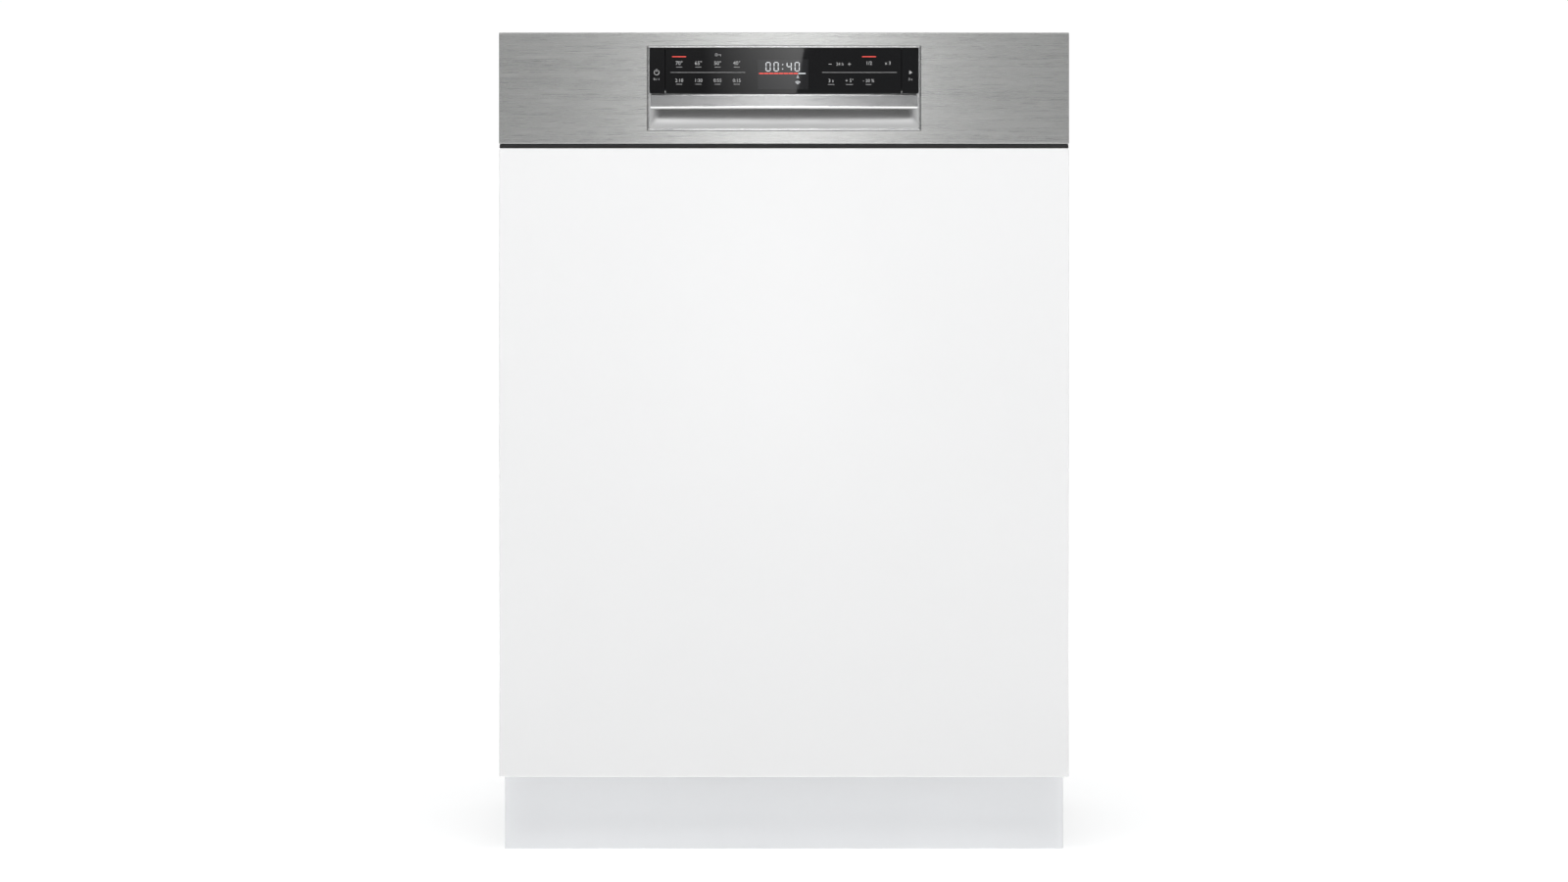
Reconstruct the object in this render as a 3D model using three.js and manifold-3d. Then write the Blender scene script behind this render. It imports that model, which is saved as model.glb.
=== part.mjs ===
// A 60 cm semi-integrated dishwasher, built as an assembly of separate pieces.
// Units are millimetres, +Z is up, and -Y is the front. The origin is on the floor, under the centre
// of the appliance. The door pivots about a line low down near its front; racks slide towards -Y.
import * as THREE from 'three';
import { mergeVertices } from 'three/addons/utils/BufferGeometryUtils.js';
import Module from 'manifold-3d';

const wasm = await Module();
wasm.setup();

// ---------------------------------------------------------------- driving dimensions
const WIDTH = 598; // fascia, front panel and plinth
const DEPTH = 573; // front panel to rear panel
const HEIGHT = 868; // floor to the top rail, with the feet part extended
const FOOT_EXTENSION = 53; // how far the feet are screwed out of their 60
const CLEAR = 0.3; // gap between pieces that touch or seat in each other
const RUNNING = 0.4; // radial gap round a turning pin

const SHEET = 1; // steel sheet of the casing
const TUB_WALL = 1; // stainless sheet of the tub
const PANEL_THICKNESS = 19; // wooden front panel
const DOOR_THICKNESS = 45.5; // back of the front panel to the door's wet face
const SEAL_GAP = 8; // door's wet face to the tub's flange
const FASCIA_HEIGHT = 117;
const FASCIA_DROP = 2; // fascia below the top of the casing
const STRIP_HEIGHT = 4.3; // dark strip between fascia and front panel
const PANEL_BOTTOM = 85; // front panel's lower edge above the floor
const BASE_CLEARANCE = 12; // base tray above a fully screwed-in foot's sole
const BASE_HEIGHT = 92;
const HINGE_ABOVE_BASE = 4;
const HINGE_BEHIND_FRONT = 36.5;
const PLINTH_SETBACK = 60;
const PLINTH_THICKNESS = 16;
const PLINTH_HEIGHT = 78.5;

// ---------------------------------------------------------------- derived planes
const HALF = WIDTH / 2;
const BODY_HALF = HALF - 1; // outside of the side panels
const FRONT = -DEPTH / 2;
const REAR = DEPTH / 2;
const PANEL_BACK = FRONT + PANEL_THICKNESS;
const WET_FACE = PANEL_BACK + DOOR_THICKNESS;
const FLANGE = WET_FACE + SEAL_GAP;
const BASE_BOTTOM = FOOT_EXTENSION + BASE_CLEARANCE;
const BASE_TOP = BASE_BOTTOM + BASE_HEIGHT;
const HINGE_Y = FRONT + HINGE_BEHIND_FRONT;
const HINGE_Z = BASE_TOP + HINGE_ABOVE_BASE;
const ROLL_LEVEL = HINGE_Z + (WET_FACE - HINGE_Y); // wet face of the open door, and the wheels' ledge
const FASCIA_TOP = HEIGHT - FASCIA_DROP;
const FASCIA_BOTTOM = FASCIA_TOP - FASCIA_HEIGHT;
const PANEL_TOP = FASCIA_BOTTOM - STRIP_HEIGHT;
const DOOR_BOTTOM = HINGE_Z - 10;
const DOOR_TOP = FASCIA_TOP - 6;
const DOOR_HALF = BODY_HALF - 14; // outside of the liner's side walls
const SWING = Math.hypot(HINGE_BEHIND_FRONT, HINGE_Z - PANEL_BOTTOM); // front panel's lowest corner
const BASE_FRONT = HINGE_Y + SWING + 1; // everything low down stays behind the swing

const TUB_HALF = BODY_HALF - 26; // inside of the tub
const TUB_STEP = 24; // ledge for the lower rack's wheels
const TUB_LOW_HALF = TUB_HALF - TUB_STEP;
const TUB_FLOOR = BASE_TOP + 9;
const TUB_TOP = HEIGHT - 26;
const TUB_BACK = REAR - 24.5;
const TUB_CORNER = 24;

// ---------------------------------------------------------------- materials
const material = (color, roughness, metalness = 0) =>
  new THREE.MeshStandardMaterial({ color, roughness, metalness });
const brushedSteel = material(0xb4b5b3, 0.35, 1);
const stainless = material(0xc4c6c7, 0.28, 1);
const galvanised = material(0x9ea2a4, 0.5, 1);
const chrome = material(0xd8d9da, 0.15, 1);
const blackGlass = material(0x121213, 0.06);
const blackPlastic = material(0x242628, 0.5);
const greyPlastic = material(0x8f9396, 0.5);
const silverPlastic = material(0xb9babb, 0.3, 0.6);
const whitePlastic = material(0xe6e7e7, 0.45);
const whiteLacquer = material(0xf4f4f4, 0.35);
const plinthLacquer = material(0xe7e9eb, 0.45);
const rackCoating = material(0xa9adb0, 0.45);
const rubber = material(0x3a3c3e, 0.8);
const greenBoard = material(0x2f6b45, 0.5);

// ---------------------------------------------------------------- solids
function toManifold(geometry) {
  const bare = geometry.clone();
  bare.deleteAttribute('normal');
  bare.deleteAttribute('uv');
  const merged = mergeVertices(bare, 1e-4);
  return new wasm.Manifold(
    new wasm.Mesh({
      numProp: 3,
      vertProperties: merged.attributes.position.array,
      triVerts: new Uint32Array(merged.index.array),
    }),
  );
}

function toGeometry(manifold) {
  const mesh = manifold.getMesh();
  const geometry = new THREE.BufferGeometry();
  geometry.setAttribute('position', new THREE.BufferAttribute(mesh.vertProperties, 3));
  geometry.setIndex(new THREE.BufferAttribute(mesh.triVerts, 1));
  const flat = geometry.toNonIndexed();
  flat.computeVertexNormals();
  return flat;
}

const fuse = (...pieces) => toGeometry(pieces.map(toManifold).reduce((a, b) => a.add(b)));
const cut = (body, ...tools) =>
  toGeometry(tools.map(toManifold).reduce((a, b) => a.subtract(b), toManifold(body)));
const common = (a, b) => toGeometry(toManifold(a).intersect(toManifold(b)));

// A box between two corners.
function box(x0, x1, y0, y1, z0, z1) {
  const geometry = new THREE.BoxGeometry(x1 - x0, y1 - y0, z1 - z0);
  return geometry.translate((x0 + x1) / 2, (y0 + y1) / 2, (z0 + z1) / 2);
}

const AXIS = { x: new THREE.Vector3(1, 0, 0), y: new THREE.Vector3(0, 1, 0), z: new THREE.Vector3(0, 0, 1) };
const ACROSS_X = new THREE.Matrix4().makeBasis(AXIS.y, AXIS.z, AXIS.x);
const ACROSS_Y = new THREE.Matrix4().makeBasis(AXIS.z, AXIS.x, AXIS.y);

// A round bar from one end to the other along x, y or z, through the point [a, b] of the other two.
function bar(axis, from, to, [a, b], radius, sides = 16) {
  const geometry = new THREE.CylinderGeometry(radius, radius, to - from, sides);
  geometry.translate(0, (from + to) / 2, 0);
  if (axis === 'x') return geometry.rotateZ(-Math.PI / 2).translate(0, a, b);
  if (axis === 'y') return geometry.translate(a, 0, b);
  return geometry.rotateX(Math.PI / 2).translate(a, b, 0);
}

function outline(points) {
  return new THREE.Shape(points.map(([a, b]) => new THREE.Vector2(a, b)));
}

function roundedRectangle(a0, a1, b0, b1, radius) {
  const shape = new THREE.Shape();
  shape.absarc(a1 - radius, b0 + radius, radius, -Math.PI / 2, 0);
  shape.absarc(a1 - radius, b1 - radius, radius, 0, Math.PI / 2);
  shape.absarc(a0 + radius, b1 - radius, radius, Math.PI / 2, Math.PI);
  shape.absarc(a0 + radius, b0 + radius, radius, Math.PI, 1.5 * Math.PI);
  return shape;
}

// An outline in (y, z) pushed from x0 to x1, in (z, x) from y0 to y1, and in (x, y) from z0 to z1.
const pushX = (shape, x0, x1, curveSegments = 4) =>
  new THREE.ExtrudeGeometry(shape, { depth: x1 - x0, bevelEnabled: false, curveSegments })
    .applyMatrix4(ACROSS_X)
    .translate(x0, 0, 0);
const pushY = (shape, y0, y1, curveSegments = 4) =>
  new THREE.ExtrudeGeometry(shape, { depth: y1 - y0, bevelEnabled: false, curveSegments })
    .applyMatrix4(ACROSS_Y)
    .translate(0, y0, 0);
const pushZ = (shape, z0, z1, curveSegments = 4) =>
  new THREE.ExtrudeGeometry(shape, { depth: z1 - z0, bevelEnabled: false, curveSegments })
    .translate(0, 0, z0);

// ---------------------------------------------------------------- scene graph
const dishwasher = new THREE.Group();
const cabinet = new THREE.Group();
const door = new THREE.Group();
const lowerRack = new THREE.Group();
const upperRack = new THREE.Group();
dishwasher.add(cabinet, door, lowerRack, upperRack);

function place(group, name, geometry, finish, position = [0, 0, 0]) {
  const mesh = new THREE.Mesh(geometry, finish);
  mesh.name = name;
  mesh.position.set(...position);
  group.add(mesh);
  return mesh;
}

// A right-hand piece and its mirror image.
function placePair(group, name, geometry, finish) {
  place(group, `${name}_right`, geometry, finish);
  place(group, `${name}_left`, geometry, finish).scale.x = -1;
}

// ---------------------------------------------------------------- feet
const FOOT = { soleRadius: 21, soleHeight: 9, spindleRadius: 5, x: HALF - 55, y: BASE_FRONT + 26 };
const FOOT_TRAVEL = 60;
const SPINDLE_TOP = BASE_BOTTOM + 24;
const REAR_FOOT_Y = REAR - 60;
const footPlaces = [
  ['front_foot_left', -FOOT.x, FOOT.y],
  ['front_foot_right', FOOT.x, FOOT.y],
  ['rear_foot', 0, REAR_FOOT_Y],
];

function buildFeet() {
  const sole = bar('z', 0, FOOT.soleHeight, [0, 0], FOOT.soleRadius, 20);
  const collar = bar('z', FOOT.soleHeight - 1, FOOT.soleHeight + 2, [0, 0], 9, 6);
  const spindle = bar('z', FOOT.soleHeight - 1, SPINDLE_TOP, [0, 0], FOOT.spindleRadius, 10);
  const foot = fuse(sole, collar, spindle);
  for (const [name, x, y] of footPlaces) place(cabinet, name, foot, blackPlastic, [x, y, 0]);
}

// ---------------------------------------------------------------- base tray
const TRAY = { half: DOOR_HALF + 4, wall: 2.5, back: REAR - 3.5 };
const BOSS_RADIUS = 12;
const PLINTH_ARM = { x: HALF * 0.66, width: 16, thickness: 9 };
const PORT = { z: BASE_BOTTOM + 34, inletX: -HALF + 120, mainsX: HALF - 110, drainX: -HALF + 190 };

function buildBase() {
  const shell = cut(
    box(-TRAY.half, TRAY.half, BASE_FRONT, TRAY.back, BASE_BOTTOM, BASE_TOP),
    box(
      -TRAY.half + TRAY.wall, TRAY.half - TRAY.wall,
      BASE_FRONT + TRAY.wall, TRAY.back - TRAY.wall,
      BASE_BOTTOM + TRAY.wall, BASE_TOP + 1,
    ),
  );
  const bosses = footPlaces.map(([, x, y]) =>
    bar('z', BASE_BOTTOM + 1, BASE_TOP - 12, [x, y], BOSS_RADIUS, 12));
  const bores = footPlaces.map(([, x, y]) =>
    bar('z', BASE_BOTTOM - 1, BASE_TOP - 6, [x, y], FOOT.spindleRadius + RUNNING, 10));
  const ports = [
    bar('y', TRAY.back - 5, TRAY.back + 1, [PORT.inletX, PORT.z], 14 + CLEAR, 16),
    bar('y', TRAY.back - 5, TRAY.back + 1, [PORT.drainX, PORT.z], 11 + CLEAR, 16),
    box(PORT.mainsX - 22 - CLEAR, PORT.mainsX + 22 + CLEAR, TRAY.back - 5, TRAY.back + 1,
      PORT.z - 14 - CLEAR, PORT.z + 14 + CLEAR),
  ];
  const tray = cut(fuse(shell, ...bosses), ...bores, ...ports);
  place(cabinet, 'base_tray', tray, blackPlastic);

  // The plinth hangs on two brackets that reach forward from the tray's front wall.
  const plinthFront = FRONT + PLINTH_SETBACK;
  const plinthBack = plinthFront + PLINTH_THICKNESS;
  const board = box(-HALF, HALF, plinthFront, plinthBack, 0.5, PLINTH_HEIGHT);
  const brackets = [-1, 1].map((side) => {
    const x = side * PLINTH_ARM.x;
    return box(
      x - PLINTH_ARM.width / 2, x + PLINTH_ARM.width / 2,
      plinthBack - 1, BASE_FRONT - CLEAR,
      BASE_BOTTOM, BASE_BOTTOM + PLINTH_ARM.thickness,
    );
  });
  place(cabinet, 'plinth_panel', fuse(board, ...brackets), plinthLacquer);
}

// ---------------------------------------------------------------- casing
const CASING_TOP = HEIGHT - SHEET - CLEAR; // the top rail lies over the side panels
const SIDE_FRONT = FLANGE + TUB_WALL + CLEAR;
const LOW_EDGE = HINGE_Z + 19; // below this the casing stays behind the swing of the front panel

function buildCasing() {
  const profile = outline([
    [BASE_FRONT, BASE_BOTTOM],
    [REAR - SHEET - CLEAR, BASE_BOTTOM],
    [REAR - SHEET - CLEAR, CASING_TOP],
    [SIDE_FRONT, CASING_TOP],
    [SIDE_FRONT, LOW_EDGE],
    [BASE_FRONT, LOW_EDGE],
  ]);
  const sheet = pushX(profile, BODY_HALF - SHEET, BODY_HALF);
  const flange = box(BODY_HALF - 12, BODY_HALF, SIDE_FRONT, SIDE_FRONT + SHEET, LOW_EDGE, CASING_TOP - 24);
  const rearFlangeBack = REAR - SHEET - CLEAR;
  const rearFlange = box(
    BODY_HALF - 9, BODY_HALF, rearFlangeBack - SHEET, rearFlangeBack, BASE_TOP + 1, CASING_TOP);
  placePair(cabinet, 'side_panel', fuse(sheet, flange, rearFlange), galvanised);

  const back = cut(
    box(-BODY_HALF, BODY_HALF, REAR - SHEET, REAR, BASE_TOP - 4, HEIGHT - SHEET - CLEAR),
    box(-60, 60, REAR - 5, REAR + 1, BASE_TOP - 5, BASE_TOP + 16),
  );
  const topLip = box(-BODY_HALF + 12, BODY_HALF - 12, REAR - 32, REAR - SHEET / 2,
    CASING_TOP - 2 * SHEET, CASING_TOP - SHEET);
  place(cabinet, 'rear_panel', fuse(back, topLip), galvanised);
}

const RAIL = { depth: 42, drop: 20, tabX: HALF - 90, tongueHalf: 8 };
const TONGUE = { reach: 26, z0: DOOR_TOP + 2.2, thickness: 2 };

function buildTopRail() {
  const front = FLANGE + TUB_WALL + CLEAR;
  const top = box(-BODY_HALF, BODY_HALF, front, front + RAIL.depth, HEIGHT - SHEET, HEIGHT);
  const web = box(
    -BODY_HALF + 14, BODY_HALF - 14, front, front + SHEET, HEIGHT - RAIL.drop, HEIGHT - SHEET / 2);
  const tongue = box(-RAIL.tongueHalf, RAIL.tongueHalf, front - TONGUE.reach, front + SHEET,
    TONGUE.z0, TONGUE.z0 + TONGUE.thickness);
  const holes = [-1, 1].map((side) =>
    bar('z', HEIGHT - 3, HEIGHT + 1, [side * RAIL.tabX, front + RAIL.depth / 2], 3, 12));
  place(cabinet, 'front_top_rail', cut(fuse(top, web, tongue), ...holes), galvanised);
}

// ---------------------------------------------------------------- tub
const SUMP = { x: 0, y: 20, radius: 88, depth: 66 };
const HUB_Y = SUMP.y + 22; // all three spray arms turn above the rear of the sump
const POST_RADIUS = 9;
const LOWER_ARM_Z = ROLL_LEVEL - 2;
const SALT = { x: -TUB_LOW_HALF + 62, y: BASE_FRONT + 42.7, radius: 30 };
const DUCT = { halfWidth: 13, depth: 20, gap: 1.5 };
const DUCT_FRONT = TUB_BACK - DUCT.gap - DUCT.depth;

// The tub's section in (z, x): wide above the wheels' ledge and, where stepped, narrower below it.
function tubSection(grow, stepped) {
  const half = TUB_HALF + grow;
  const low = TUB_LOW_HALF + grow;
  const radius = TUB_CORNER + grow;
  const shape = new THREE.Shape();
  shape.moveTo(ROLL_LEVEL - grow, -half);
  shape.lineTo(TUB_TOP + grow - radius, -half);
  shape.absarc(TUB_TOP + grow - radius, -half + radius, radius, -Math.PI / 2, 0);
  shape.absarc(TUB_TOP + grow - radius, half - radius, radius, 0, Math.PI / 2);
  shape.lineTo(ROLL_LEVEL - grow, half);
  if (stepped) {
    shape.lineTo(ROLL_LEVEL - grow, low);
    shape.lineTo(TUB_FLOOR - grow, low);
    shape.lineTo(TUB_FLOOR - grow, -low);
    shape.lineTo(ROLL_LEVEL - grow, -low);
  }
  return shape;
}

function buildTub() {
  const flangeTop = DOOR_TOP - 2;
  const flangeHalf = BODY_HALF - 2;
  const skin = pushY(tubSection(TUB_WALL, true), FLANGE, TUB_BACK + TUB_WALL, 3);
  const flange = box(-flangeHalf, flangeHalf, FLANGE, FLANGE + TUB_WALL, ROLL_LEVEL - TUB_WALL, flangeTop);
  const mouth = pushY(tubSection(0, false), FLANGE - 1, FLANGE + TUB_WALL + 1, 3);
  const hollow = pushY(tubSection(0, true), FLANGE + TUB_WALL, TUB_BACK, 3);
  const drain = bar('z', TUB_FLOOR - 5, TUB_FLOOR + 1, [SUMP.x, SUMP.y], SUMP.radius, 24);
  const salt = bar('z', TUB_FLOOR - 5, TUB_FLOOR + 1, [SALT.x, SALT.y], SALT.radius - 4, 16);
  place(cabinet, 'tub', cut(fuse(skin, flange), mouth, hollow, drain, salt), stainless);
}

// An inverted U round the top and sides of the opening, squeezed between door and flange.
function buildGasket() {
  const inner = TUB_HALF + 2;
  const outer = inner + 8;
  const top = TUB_TOP + 10;
  const foot = ROLL_LEVEL + 3;
  const ring = cut(
    box(-outer, outer, WET_FACE + CLEAR, FLANGE - CLEAR, foot, top),
    box(-inner, inner, WET_FACE - 1, FLANGE + 1, foot - 1, top - 8),
  );
  place(cabinet, 'tub_gasket', ring, rubber);
}

// ---------------------------------------------------------------- water circuit
function buildSump() {
  const top = TUB_FLOOR - TUB_WALL - CLEAR;
  const at = [SUMP.x, SUMP.y];
  const bowl = bar('z', top - SUMP.depth, top, at, SUMP.radius, 24);
  const lip = bar('z', top - 4, top, at, SUMP.radius + 9, 24);
  const hollow = bar('z', top - SUMP.depth + 3, top + 1, at, SUMP.radius - 4, 24);
  const post = bar('z', top - SUMP.depth + 1, LOWER_ARM_Z + 9, [SUMP.x, HUB_Y], POST_RADIUS, 12);
  place(cabinet, 'sump', fuse(cut(fuse(bowl, lip), hollow), post), greyPlastic);
}

const FILTER = { radius: 38, wall: 2.5, gap: 1, y: SUMP.y - 40 }; // gap: all round, in the plate's hole

function buildFilters() {
  const at = [SUMP.x, SUMP.y];
  const plateRadius = SUMP.radius - 4 - CLEAR;
  const plateTop = TUB_FLOOR - 1;
  const plate = cut(
    bar('z', plateTop - 3, plateTop, at, plateRadius, 24),
    bar('z', plateTop - 5, plateTop + 1, [SUMP.x, FILTER.y], FILTER.radius + FILTER.gap, 20),
    bar('z', plateTop - 5, plateTop + 1, [SUMP.x, HUB_Y], POST_RADIUS + CLEAR, 12),
  );
  place(cabinet, 'filter_plate', plate, stainless);

  const bottom = TUB_FLOOR - TUB_WALL - CLEAR - SUMP.depth + 5;
  const inner = FILTER.radius - FILTER.wall;
  const cup = cut(
    bar('z', bottom, plateTop + 10, [0, 0], FILTER.radius, 20),
    bar('z', bottom + 3, plateTop + 11, [0, 0], inner, 20),
  );
  const grip = box(-inner - 1, inner + 1, -3, 3, plateTop + 1, plateTop + 9);
  place(cabinet, 'filter_cylinder', fuse(cup, grip), greyPlastic, [SUMP.x, FILTER.y, 0]);
}

const PUMP = { radius: 34, y: 40, z: BASE_BOTTOM + 43, length: 118 };

function buildPumps() {
  const start = SUMP.x + SUMP.radius + 12;
  const casing = bar('x', start, start + 46, [PUMP.y, PUMP.z], PUMP.radius, 20);
  const motor = bar('x', start + 44, start + PUMP.length, [PUMP.y, PUMP.z], PUMP.radius - 7, 20);
  const spout = bar('z', PUMP.z, PUMP.z + PUMP.radius + 5, [start + 20, PUMP.y], 13, 12);
  place(cabinet, 'circulation_pump', fuse(casing, motor, spout), blackPlastic);

  const y = SUMP.y - SUMP.radius - 22;
  const head = bar('x', -34, -8, [y, PUMP.z - 6], 21, 16);
  const rotor = bar('x', -10, 52, [y, PUMP.z - 6], 16, 16);
  place(cabinet, 'drain_pump', fuse(head, rotor), whitePlastic);
}

function buildSoftener() {
  const top = BASE_TOP - 12;
  const tank = box(
    SALT.x - 44, SUMP.x - SUMP.radius - 32, SALT.y - 36, SALT.y + 102, BASE_BOTTOM + 8, top);
  const neck = bar('z', top - 1, TUB_FLOOR - TUB_WALL - CLEAR, [SALT.x, SALT.y], SALT.radius + 4, 16);
  place(cabinet, 'water_softener', fuse(tank, neck), whitePlastic);

  const cap = bar('z', TUB_FLOOR + CLEAR, TUB_FLOOR + 10, [0, 0], SALT.radius, 16);
  const plug = bar('z', TUB_FLOOR - TUB_WALL, TUB_FLOOR + 1, [0, 0], SALT.radius - 6, 16);
  const wing = box(-SALT.radius + 6, SALT.radius - 6, -3, 3, TUB_FLOOR + 9, TUB_FLOOR + 17);
  place(cabinet, 'salt_cap', fuse(cap, plug, wing), whitePlastic, [SALT.x, SALT.y, 0]);
}

function buildPorts() {
  const back = TRAY.back;
  const body = box(PORT.inletX - 24, PORT.inletX + 24, back - 60, back - 8, PORT.z - 24, PORT.z + 24);
  const spigot = bar('y', back - 10, REAR, [PORT.inletX, PORT.z], 13.2, 16);
  const bore = bar('y', back - 20, REAR + 1, [PORT.inletX, PORT.z], 9, 16);
  place(cabinet, 'inlet_valve', cut(fuse(body, spigot), bore), whitePlastic);

  const hub = bar('y', back - 40, back - 8, [PORT.drainX, PORT.z], 16, 16);
  const tail = bar('y', back - 10, REAR, [PORT.drainX, PORT.z], 10.5, 16);
  const drain = bar('y', back - 36, REAR + 1, [PORT.drainX, PORT.z], 8, 16);
  place(cabinet, 'drain_outlet', cut(fuse(hub, tail), drain), greyPlastic);

  const block = box(PORT.mainsX - 28, PORT.mainsX + 28, back - 40, back - 4, PORT.z - 20, PORT.z + 20);
  const face = box(PORT.mainsX - 22, PORT.mainsX + 22, back - 5, REAR - 0.5, PORT.z - 14, PORT.z + 14);
  const socket = box(PORT.mainsX - 14, PORT.mainsX + 14, back - 20, REAR + 1, PORT.z - 8, PORT.z + 8);
  place(cabinet, 'mains_inlet', cut(fuse(block, face), socket), blackPlastic);
}

// ---------------------------------------------------------------- racks: levels and sizes
const RACK = {
  wire: 4,
  front: FLANGE + 9,
  back: TUB_BACK - 30,
  half: TUB_LOW_HALF,
  lowFloor: TUB_FLOOR + 46,
  lowRim: TUB_FLOOR + 234,
  highFloor: TUB_TOP - 282,
  highRim: TUB_TOP - 140,
  trayFloor: TUB_TOP - 72,
  trayRim: TUB_TOP - 38,
};
const WELD = 0.4; // how far crossing wires sink into each other

// Evenly spaced values from a to b, about a pitch apart.
function spread(a, b, pitch) {
  const count = Math.max(1, Math.round((b - a) / pitch));
  return Array.from({ length: count + 1 }, (_, i) => a + ((b - a) * i) / count);
}

// A welded wire basket: U-shaped wires each way, and level rings at the given heights.
function basket({ half, front, back, floor, rim, pitchX, pitchY, rings }) {
  const w = RACK.wire;
  const inset = w - WELD;
  const wires = [];
  for (const y of spread(front + 30, back - 30, pitchY)) {
    wires.push(box(-half, half, y - w / 2, y + w / 2, floor, floor + w));
    for (const side of [-1, 1]) {
      const x = side * (half - w / 2);
      wires.push(box(x - w / 2, x + w / 2, y - w / 2, y + w / 2, floor, rim));
    }
  }
  for (const x of spread(-half + 34, half - 34, pitchX)) {
    wires.push(box(x - w / 2, x + w / 2, front, back, floor + inset, floor + inset + w));
    for (const y of [front, back - w]) {
      wires.push(box(x - w / 2, x + w / 2, y, y + w, floor + inset, rim));
    }
  }
  for (const z of rings) {
    const reach = half + inset;
    for (const side of [-1, 1]) {
      const x = side * (reach - w / 2);
      wires.push(box(x - w / 2, x + w / 2, front - inset, back + inset, z - w, z));
    }
    wires.push(box(-reach, reach, front - inset, front - inset + w, z - w, z));
    wires.push(box(-reach, reach, back + inset - w, back + inset, z - w, z));
  }
  return wires;
}

// ---------------------------------------------------------------- lower rack
const WHEEL = { radius: 17, width: 9, axle: 3.2, gap: 3 };
const WHEEL_X = RACK.half + 8;
const WHEEL_Z = ROLL_LEVEL + WHEEL.radius + CLEAR;
const wheelPlaces = [
  ['front', RACK.front + 64],
  ['rear', RACK.back - 60],
];
const TINES = { height: 78, pitch: 44, rows: [-0.62, 0.66], foldRows: [-0.22, 0.2] };
const PEGS = { height: 46, rows: [-0.55, 0, 0.55] };

// A row of upright tines on one long wire, with its middle line at the origin.
function tineRow(length, height) {
  const w = RACK.wire;
  const wire = box(-w / 2, w / 2, -length / 2, length / 2, -w / 2, w / 2);
  const tines = spread(-length / 2 + 8, length / 2 - 8, TINES.pitch).map((y) =>
    box(-w / 2, w / 2, y - w / 2, y + w / 2, 0, height));
  return fuse(wire, ...tines);
}

function buildLowerRack() {
  const w = RACK.wire;
  const { front, back, half, lowFloor: floor, lowRim: rim } = RACK;
  const wires = basket({
    half, front, back, floor, rim, pitchX: 84, pitchY: 76, rings: [floor + 60, rim],
  });
  const rowLength = back - front - 90;
  const middle = (front + back) / 2;
  const rowZ = floor + w - WELD + w / 2; // level with the lengthwise floor wires
  for (const share of TINES.rows) {
    wires.push(tineRow(rowLength, TINES.height).translate(share * half, middle, rowZ));
  }
  for (const side of [-1, 1]) {
    for (const [, y] of wheelPlaces) {
      const inner = side > 0 ? half - w : -WHEEL_X - WHEEL.width - 1;
      const outer = side > 0 ? WHEEL_X + WHEEL.width + 1 : -half + w;
      wires.push(bar('x', inner, outer, [y, WHEEL_Z], WHEEL.axle, 10));
      const x = side * (half - w / 2);
      wires.push(box(x - w / 2, x + w / 2, y - 9, y + 9, WHEEL_Z - 7, floor + 66));
    }
  }
  place(lowerRack, 'lower_rack', fuse(...wires), rackCoating);

  const drum = bar('x', 0, WHEEL.width, [0, 0], WHEEL.radius, 18);
  const bore = bar('x', -1, WHEEL.width + 1, [0, 0], WHEEL.axle + RUNNING, 10);
  const wheel = cut(drum, bore);
  for (const [end, y] of wheelPlaces) {
    place(lowerRack, `lower_rack_wheel_${end}_right`, wheel, greyPlastic, [WHEEL_X, y, WHEEL_Z]);
    const left = -WHEEL_X - WHEEL.width;
    place(lowerRack, `lower_rack_wheel_${end}_left`, wheel, greyPlastic, [left, y, WHEEL_Z]);
  }

  const names = ['fold_tine_row_left', 'fold_tine_row_right'];
  const foldZ = rowZ + w + CLEAR; // clear above the floor wires
  names.forEach((name, i) => {
    const at = [TINES.foldRows[i] * half, middle, foldZ];
    place(lowerRack, name, tineRow(rowLength, TINES.height), rackCoating, at);
  });
}

// ---------------------------------------------------------------- spray arms
const ARM = { width: 34, thickness: 12, hub: 24 };
const SPIGOT_RADIUS = 6; // what the upper and top arms hang on

// A flat hollow-looking paddle with round ends and a hub, spinning about its own Z axis.
function sprayArm(reach, width, thickness) {
  const w = width / 2;
  const shape = new THREE.Shape();
  shape.absarc(reach - w, 0, w, -Math.PI / 2, Math.PI / 2);
  shape.absarc(-reach + w, 0, w, Math.PI / 2, 1.5 * Math.PI);
  return pushZ(shape, 0, thickness, 6);
}

const UPPER_ARM_Z = RACK.highFloor - 30;
const FEED_Z = UPPER_ARM_Z + 19; // where the riser meets the upper rack's feed pipe
const TOP_ARM_Z = TUB_TOP - 24;

function buildLowerArm() {
  const reach = Math.min(TUB_LOW_HALF, DUCT_FRONT - HUB_Y, HUB_Y - FLANGE) - 12;
  const paddle = sprayArm(reach, ARM.width, ARM.thickness).translate(0, 0, LOWER_ARM_Z);
  const hub = bar('z', LOWER_ARM_Z - 8, LOWER_ARM_Z + 14, [0, 0], ARM.hub, 16);
  const bore = bar('z', LOWER_ARM_Z - 9, LOWER_ARM_Z + 9 + CLEAR, [0, 0], POST_RADIUS + RUNNING, 12);
  place(cabinet, 'lower_spray_arm', cut(fuse(paddle, hub), bore), greyPlastic, [SUMP.x, HUB_Y, 0]);
}

function buildTopArm() {
  const paddle = sprayArm(92, 24, 8).translate(0, 0, TOP_ARM_Z);
  const hub = bar('z', TOP_ARM_Z - 2, TOP_ARM_Z + 9, [0, 0], 15, 16);
  const bore = bar('z', TOP_ARM_Z + 2, TOP_ARM_Z + 10, [0, 0], SPIGOT_RADIUS + RUNNING, 12);
  place(cabinet, 'top_spray_arm', cut(fuse(paddle, hub), bore), greyPlastic, [SUMP.x, HUB_Y, 0]);
}

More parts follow.
